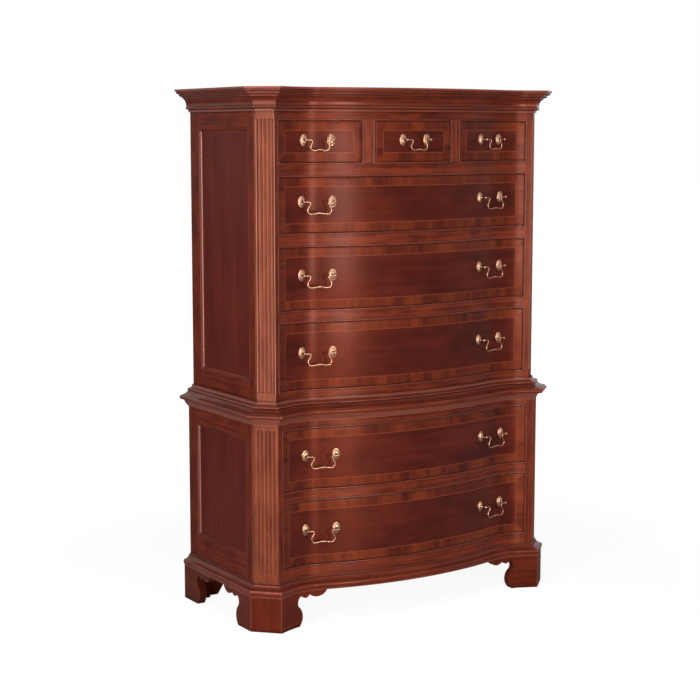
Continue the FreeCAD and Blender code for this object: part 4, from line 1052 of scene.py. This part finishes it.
class CHEST_OT_sides(bpy.types.Operator):
    """Side frames, their veneered panels and the ovolo sticking round them"""

    bl_idname = "chest.sides"
    bl_label = "Sides"

    def execute(self, context):
        plan = plan_now()
        stile_front, stile_back, panel_thick = 35, 55, 8
        seed = 60
        # each case's sides: the step out, their ends, and the widths of the bottom and top rails
        for title, out, (low, high), (bottom, top) in (("upper", 0.0, UPPER_CASE, (73, 102)),
                                                       ("lower", plan.step, LOWER_CASE, (66, 70))):
            outer = plan.half + out
            face = outer - PANEL_SUNK
            front = plan.breaks(out)[1].y + POST_RETURN
            opening = (front + stile_front, BACK - stile_back)
            panel_span = (low + bottom, high - top)
            for mirror, hand in HANDS:
                seed += 1
                spans = sorted((mirror * (plan.half - CASE_SIDE), mirror * outer))
                stock = side_frame(seed, spans, (front, *opening, BACK), (low, *panel_span, high))
                piece = stock.made("%s_side_%s" % (title, hand), "carcass", "cherry", "cherry_soft")
                if hand == "right":
                    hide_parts(title + "_side_frames")
                panel = Stock(seed + 10)
                spans = sorted((mirror * (face - panel_thick), mirror * face))
                panel.board(*zip(spans, opening, panel_span), 2)
                piece = panel.made("%s_panel_%s" % (title, hand), "carcass", "side_veneer",
                                   "side_veneer")
                if title == "upper" and hand == "right":
                    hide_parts("side_panels")
                sticking(seed + 20, outer, mirror, opening, panel_span).made(
                    "%s_sticking_%s" % (title, hand), "carcass", "cherry",
                    "cherry_bright", "cherry_soft")
        return {"FINISHED"}


def foot_outline(reach):
    """The scrolled edge of a bracket foot from the floor to the moulding: (along, up)."""
    scroll = [Vector(place) for place in (
        (reach, 0), (reach + 13, 31), (reach - 3, 63), (reach - 6, 76), (reach + 10, 95),
        (reach + 23.5, 85), (reach + 37, 95), (reach + 64.5, 85), (171, FOOT_TOP))]
    line = scroll[:1]
    for start, middle, end in zip(scroll[0::2], scroll[1::2], scroll[2::2]):
        chord = end - start
        left = Vector((-chord.y, chord.x)).normalized()
        bulge = (middle - (start + end) / 2).dot(left) / chord.length
        line += arc(start, end, bulge, 10)
    return [Vector((0, 0))] + line + [Vector((0, FOOT_TOP))]


def bracket(stock, outline, mapped, pitch=None):
    """A scrolled board: its outline in (along, up), placed by mapped(along, up, deep)."""
    flat = bmesh.new()
    flat.faces.new([flat.verts.new((along, 0, up)) for along, up in outline])
    if pitch:
        reach = max(along for along, _ in outline)
        for count in range(1, int(reach / pitch)):
            bmesh.ops.bisect_plane(flat, geom=flat.verts[:] + flat.edges[:] + flat.faces[:],
                                   plane_co=(count * pitch, 0, 0), plane_no=(1, 0, 0))
    flat.verts.index_update()
    near, far = ([stock.point(*mapped(v.co.x, v.co.z, deep)) for v in flat.verts] for deep in (0, 1))
    for face in flat.faces:
        grain = [(v.co.x, v.co.z) for v in face.verts]
        stock.face([near[v.index] for v in face.verts], grain)
        stock.face([far[v.index] for v in reversed(face.verts)], grain[::-1])
    for line in flat.edges:
        if len(line.link_faces) == 1:
            one, other = (v.index for v in line.verts)
            places = [v.co.x + v.co.z for v in line.verts]
            stock.face([near[one], near[other], far[other], far[one]],
                       list(zip(places + places[::-1], (0, 0, FOOT_BOARD, FOOT_BOARD))))
    flat.free()


class CHEST_OT_feet(bpy.types.Operator):
    """Scrolled bracket feet with canted corners, and plain slanted boards behind"""

    bl_idname = "chest.feet"
    bl_label = "Bracket feet"

    def execute(self, context):
        plan = plan_now()
        foot = plan.foot
        front, side = plan.breaks(foot)
        inner = plan.half + foot - FOOT_BOARD
        front_outline, rear_outline = foot_outline(79), foot_outline(90)
        slant = [Vector(place) for place in ((0, 0), (106 - FOOT_BOARD, 0), (151, FOOT_TOP),
                                             (0, FOOT_TOP))]
        for mirror, hand in HANDS:

            def on_front(along, up, deep):
                x = front.x - along
                return mirror * x, plan.front(x, foot - FOOT_BOARD * deep), up

            def on_side(along, up, deep):
                return mirror * (side.x - FOOT_BOARD * deep), side.y + along, up

            def on_rear(along, up, deep):
                return mirror * (side.x - FOOT_BOARD * deep), BACK - along, up

            def behind(along, up, deep):
                return mirror * (inner - along), BACK - FOOT_BOARD * deep, up

            stock = Stock(80 + mirror)
            bracket(stock, front_outline, on_front, pitch=8)
            plan_points = [front, side, Vector((inner, side.y)),
                           Vector((front.x, front.y + FOOT_BOARD / math.cos(plan.swing)))]
            rows = [stock.ring([(mirror * spot.x, spot.y, level) for spot in plan_points],
                               [(level, 25 * at) for at in range(5)]) for level in (0, FOOT_TOP)]
            stock.cap(*rows)
            stock.lay(rows)
            bracket(stock, front_outline, on_side)
            piece = stock.made("front_foot_" + hand, "carcass", "cherry", "cherry_foot")
            if hand == "right":
                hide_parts("front_bracket_feet")
            stock = Stock(84 + mirror)
            bracket(stock, rear_outline, on_rear)
            bracket(stock, slant, behind)
            piece = stock.made("rear_foot_" + hand, "carcass", "cherry", "cherry_foot")
            if hand == "right":
                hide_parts("rear_bracket_feet")
        return {"FINISHED"}


# ------------------------------------------------------------------ brass
class PullPlace:
    """Where one pull stands: its feet on the front, its way along and its way out."""

    def __init__(self, plan, opening, x):
        out = opening.out(plan)
        level = sum(opening.z_span) / 2 + opening.pull["rise"]
        normal = plan.face_normal(x, out)
        # the two feet keep their spacing along the curve: four rounds settle it
        for _ in range(4):
            half = opening.pull["spacing"] / 2 * -normal.y
            ends = [Vector((x + way * half, plan.front(x + way * half, out))) for way in (-1, 1)]
            chord = (ends[1] - ends[0]).normalized()
            normal = Vector((chord.y, -chord.x))
        self.along = chord.to_3d()
        self.out = normal.to_3d()
        self.feet = [Vector((end.x, end.y, level)) for end in ends]
        self.facing = []
        self.lifts = []
        side = bpy.context.scene.chest_detail.rosette_width / MM
        for end in ends:
            face = plan.face_normal(end.x, out)
            rims = [Vector((end.x + way, plan.front(end.x + way, out))) for way in (-side, side)]
            self.facing.append(face.to_3d())
            self.lifts.append(max(0.0, *((rim - end).dot(face) for rim in rims)))
        self.pivot = (self.feet[0] + self.feet[1]) / 2 + self.out * PULL_STAND


def turned(stock, profile, foot, axis, sides, lobes=None, narrow=None):
    """A turned shape: profile of (radius, height) about an axis, lobed and narrowed where asked."""
    up = Vector((0, 0, 1))
    across = axis.cross(up).normalized()
    rows = []
    for radius, height in profile:
        angles = [2 * math.pi * count / sides for count in range(sides)]
        spots = []
        for angle in angles:
            shift = lobes(radius, angle) if lobes else 0
            aside = across * math.cos(angle) * (narrow(radius) if narrow else 1)
            spots.append(foot + axis * (height + shift) + (aside + up * math.sin(angle)) * radius)
        rows.append(stock.ring(spots, [(angle * 8, height + radius) for angle in angles]))
    stock.lay(rows)
    stock.cap(rows[0], rows[-1])


class CHEST_OT_pulls(bpy.types.Operator):
    """Brass rosettes and the posts that carry the bails"""

    bl_idname = "chest.pulls"
    bl_label = "Rosettes and posts"

    def execute(self, context):
        plan = plan_now()
        detail = context.scene.chest_detail
        rim = detail.rosette / MM
        slim = detail.rosette_width / detail.rosette

        # fourteen shallow petals stand round the dome, highest at 11.6 mm from its middle
        def petals(radius, angle):
            share = max(0.0, 1 - abs(radius - 11.6) / 3.6)
            return 0.55 * share * math.cos(14 * angle)

        # round in the middle and oval from 10 mm out
        def narrow(radius):
            return 1 - (1 - slim) * min(max((radius - 4) / 6, 0), 1)

        dome = [(rim, 0), (rim, 1.0), (rim - 0.5, 1.7), (rim - 1.4, 2.1), (rim - 2.2, 2.0),
                (rim - 3.0, 2.2)]
        dome += [(radius, 1.0 + 6.0 * math.sqrt(1 - (radius / 15.6) ** 2))
                 for radius in (13.9, 13.0, 12.0, 11.0, 10.0, 9.0, 8.0, 7.0, 6.0, 4.8, 3.6)]
        knob = 4.3
        for opening in OPENINGS:
            stock = Stock(100 + opening.number)
            for _, x in opening.pulls():
                place = PullPlace(plan, opening, x)
                for foot, facing, lift in zip(place.feet, place.facing, place.lifts):
                    turned(stock, dome, foot + facing * lift, facing, 56, petals, narrow)
                    stem = [(2.9, lift), (2.9, 8.2), (3.8, 8.8), (3.8, 9.6), (2.6, 10.6), (2.2, 14),
                            (2.5, 18.6), (3.4, 19.4), (3.4, 20.2), (2.9, 20.8)]
                    stem += [(knob * math.sin(turn), 24.6 - knob * math.cos(turn))
                             for turn in (math.pi * n / 12 for n in range(3, 12))]
                    turned(stock, stem + [(0.5, 28.9)], foot, place.out, 20)
            piece = stock.made("rosettes_%d" % opening.number, "drawer_%d" % opening.number, "brass",
                               "brass", sharp=50)
            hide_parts("pull_mounts_%d" % opening.number)
        return {"FINISHED"}


def bail_line(spacing, neck, drop):
    """The right half of a bail from its end to its middle, in (along, up)."""
    lean = math.radians(30)
    throat, corner, rise, play = 5, 11, 2.6, 0.3
    start = spacing / 2 - play
    line = [Vector((start - n * (start - neck - throat) / 4, 0)) for n in range(4)]
    line += bend(Vector((neck + throat, -throat)), throat, math.pi / 2, math.pi + lean, 10)
    low = -drop + corner
    run = (line[-1].y - low - corner * math.sin(lean)) / math.cos(lean)
    shank, way = line[-1], Vector((math.sin(lean), -math.cos(lean)))
    line += [shank + way * run * n / 4 for n in range(1, 5)]
    centre = Vector((line[-1].x - corner * math.cos(lean), low))
    line += bend(centre, corner, lean, -math.pi / 2, 12, 1)
    end = line[-1]
    line += [Vector((end.x * (1 - n / 12), end.y + rise * (1 - math.cos(math.pi * n / 12)) / 2))
             for n in range(1, 13)]
    return line


def bar_radius(spot, short):
    """How thick a bail's bar is at a point of its line: even, apart from a row of beads along the
    bottom of a small one and a swelling along the bottom of a large one."""
    even, bottom, beaded, swelling = 1.9, -25, 9, 15
    reach = abs(spot.x)
    if spot.y < bottom and short and reach < beaded:
        return 1.7 + abs(math.cos(reach / beaded * math.pi * 1.5))
    if spot.y < bottom and not short and reach < swelling:
        return even + 1.1 * math.cos(reach / swelling * math.pi / 2) ** 2
    return even


class CHEST_OT_bails(bpy.types.Operator):
    """Swan-neck bails, drawn out to a swelling or a row of beads at the middle"""

    bl_idname = "chest.bails"
    bl_label = "Bails"

    def execute(self, context):
        plan = plan_now()
        angles = [2 * math.pi * count / 12 for count in range(12)]
        for opening in OPENINGS:
            pull = opening.pull
            half = bail_line(pull["spacing"], pull["neck"], pull["drop"])
            whole = half + [Vector((-spot.x, spot.y)) for spot in reversed(half[:-1])]
            fine = [whole[0]]
            for one, other in zip(whole, whole[1:]):
                flats = 4 if abs(one.x) < 12 and opening.short else 1
                fine += [one.lerp(other, n / flats) for n in range(1, flats + 1)]
            for name, x in opening.pulls():
                place = PullPlace(plan, opening, x)
                stock = Stock()
                rows = []
                for at, spot in enumerate(fine):
                    before, after = fine[max(at - 1, 0)], fine[min(at + 1, len(fine) - 1)]
                    way = (after - before).normalized()
                    square = Vector((-way.y, way.x))
                    radius = bar_radius(spot, opening.short)
                    spots = []
                    for angle in angles:
                        shift = square * math.cos(angle) * radius
                        centre = place.pivot + place.along * (spot.x + shift.x)
                        centre = centre + place.out * math.sin(angle) * radius
                        spots.append((centre.x, centre.y, centre.z + spot.y + shift.y))
                    rows.append(stock.ring(spots, [(at * 3, angle * 2) for angle in angles]))
                stock.lay(rows)
                stock.cap(rows[0], rows[-1])
                piece = stock.made("swan_neck_" + name, "bail_" + name, "brass", "brass", sharp=50)
                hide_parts("bail_" + name)
        return {"FINISHED"}


class CHEST_OT_inside(bpy.types.Operator):
    """Finishes of the boards that stay as the frame has them"""

    bl_idname = "chest.inside"
    bl_label = "Inside and back boards"

    def execute(self, context):
        wood = {name: "inside_wood_deep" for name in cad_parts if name.startswith("drawer_box")}
        # the foot blocks take the dark lacquered cherry rather than pale inside wood: painted shade
        # under the case
        wood.update({"upper_dust_panels": "inside_wood", "lower_dust_panels": "inside_wood",
                     "drawer_stops": "inside_wood", "drawer_guides": "inside_wood_deep",
                     "upper_back_panel": "back_boards", "lower_back_panel": "back_boards",
                     "top_board": "cherry_top", "foot_blocks": "cherry_top"})
        for name, material in wood.items():
            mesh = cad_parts[name].data
            mesh.materials.clear()
            mesh.materials.append(Finishes.get(material))
        return {"FINISHED"}


# ------------------------------------------------------------------ the stage
def paper_floor():
    mesh = bpy.data.meshes.new("studio_floor")
    mesh.from_pydata([(-30, -30, 0), (30, -30, 0), (30, 30, 0), (-30, 30, 0)], [], [(0, 1, 2, 3)])
    mesh.materials.append(Finishes.get("white_paper"))
    stood("studio_floor", mesh)


def white_room():
    """A world that is white to look at and in reflections, and lights the chest only faintly."""
    world = bpy.data.worlds.new("white_room")
    world.use_nodes = True
    tree = world.node_tree
    tree.nodes.clear()
    rays = add(tree, "LightPath").outputs
    seen = rays["Is Camera Ray"]
    for kind in ("Is Glossy Ray", "Is Transmission Ray"):
        seen = add(tree, "Math", {"operation": "MAXIMUM"}, {0: seen, 1: rays[kind]})
    strength = add(tree, "MapRange", {"To Min": 0.15, "To Max": 1.0}, {"Value": seen})
    room = add(tree, "Background", {"Color": (1, 1, 1, 1)}, {"Strength": strength})
    add(tree, "OutputWorld", links={"Surface": room})
    bpy.context.scene.world = world


def softbox(name, azimuth, distance, middle, width, tall, power, aim=None):
    """A soft lamp aimed at the chest: degrees round from its front, metres away and up, its
    size in metres and its watts."""
    data = bpy.data.lights.new(name, "AREA")
    data.shape = "RECTANGLE"
    data.size, data.size_y = width, tall
    data.energy = power
    piece = stood(name, data)
    turn = math.radians(azimuth)
    piece.location = (math.sin(turn) * distance, -math.cos(turn) * distance, middle)
    way = Vector((0, 0, middle if aim is None else aim)) - piece.location
    piece.rotation_euler = way.to_track_quat("-Z", "Y").to_euler()


def camera(place, azimuth, downward, lens):
    """The camera: its place in metres, degrees turned to the right and down, and its lens."""
    data = bpy.data.cameras.new("camera")
    data.sensor_width = 36
    data.lens = lens
    data.clip_end = 100
    turn, pitch = math.radians(azimuth), math.radians(downward)
    ahead = Vector((math.sin(turn) * math.cos(pitch), math.cos(turn) * math.cos(pitch),
                    -math.sin(pitch)))
    side = Vector((math.cos(turn), -math.sin(turn), 0))
    placed = Matrix((side, side.cross(ahead), -ahead)).transposed().to_4x4()
    placed.translation = Vector(place)
    bpy.context.scene.camera = stood("camera", data)
    bpy.context.scene.camera.matrix_world = placed


class CHEST_OT_stage(bpy.types.Operator):
    """Pale floor, soft lamps and the camera"""

    bl_idname = "chest.stage"
    bl_label = "Stage"

    def execute(self, context):
        paper_floor()
        white_room()
        softbox("front_softbox", 2.8, 5.5, 0.76, 0.75, 1.4, 200)
        softbox("left_softbox", -63, 3.6, 1.25, 0.6, 2.4, 110)
        softbox("top_softbox", -35, 1.6, 3.6, 1.2, 1.2, 35, aim=0.8)
        camera((-2.83576, -4.36550, 1.47012), azimuth=32.13, downward=7.48, lens=85.28)
        context.scene.view_settings.view_transform = "Standard"
        return {"FINISHED"}


class CHEST_PT_panel(bpy.types.Panel):
    """The parts of the chest, in the order they are made"""

    bl_idname = "CHEST_PT_panel"
    bl_label = "Chest"
    bl_space_type = "VIEW_3D"
    bl_region_type = "UI"
    bl_category = "Chest"

    def draw(self, context):
        for title, group in GROUPS.items():
            box = self.layout.box()
            for name in group.__annotations__:
                box.prop(getattr(context.scene, title), name)
        for operator in OPERATORS:
            self.layout.operator(operator.bl_idname)


OPERATORS = (CHEST_OT_mouldings, CHEST_OT_rails, CHEST_OT_posts, CHEST_OT_fronts,
             CHEST_OT_beads, CHEST_OT_sides, CHEST_OT_feet, CHEST_OT_pulls, CHEST_OT_bails,
             CHEST_OT_inside, CHEST_OT_stage)
GROUPS = {"chest_plan": ChestPlan, "chest_detail": ChestDetail, "chest_finish": ChestFinish}
CLASSES = (*GROUPS.values(), *OPERATORS, CHEST_PT_panel)


def register():
    for item in CLASSES:
        bpy.utils.register_class(item)
    for name, group in GROUPS.items():
        setattr(bpy.types.Scene, name, bpy.props.PointerProperty(type=group))


def unregister():
    for name in GROUPS:
        delattr(bpy.types.Scene, name)
    for item in reversed(CLASSES):
        bpy.utils.unregister_class(item)


def main():
    register()
    bpy.ops.chest.mouldings()
    bpy.ops.chest.rails()
    bpy.ops.chest.posts()
    bpy.ops.chest.fronts()
    bpy.ops.chest.beads()
    bpy.ops.chest.sides()
    bpy.ops.chest.feet()
    bpy.ops.chest.pulls()
    bpy.ops.chest.bails()
    bpy.ops.chest.inside()
    bpy.ops.chest.stage()


if __name__ == "__main__":
    main()
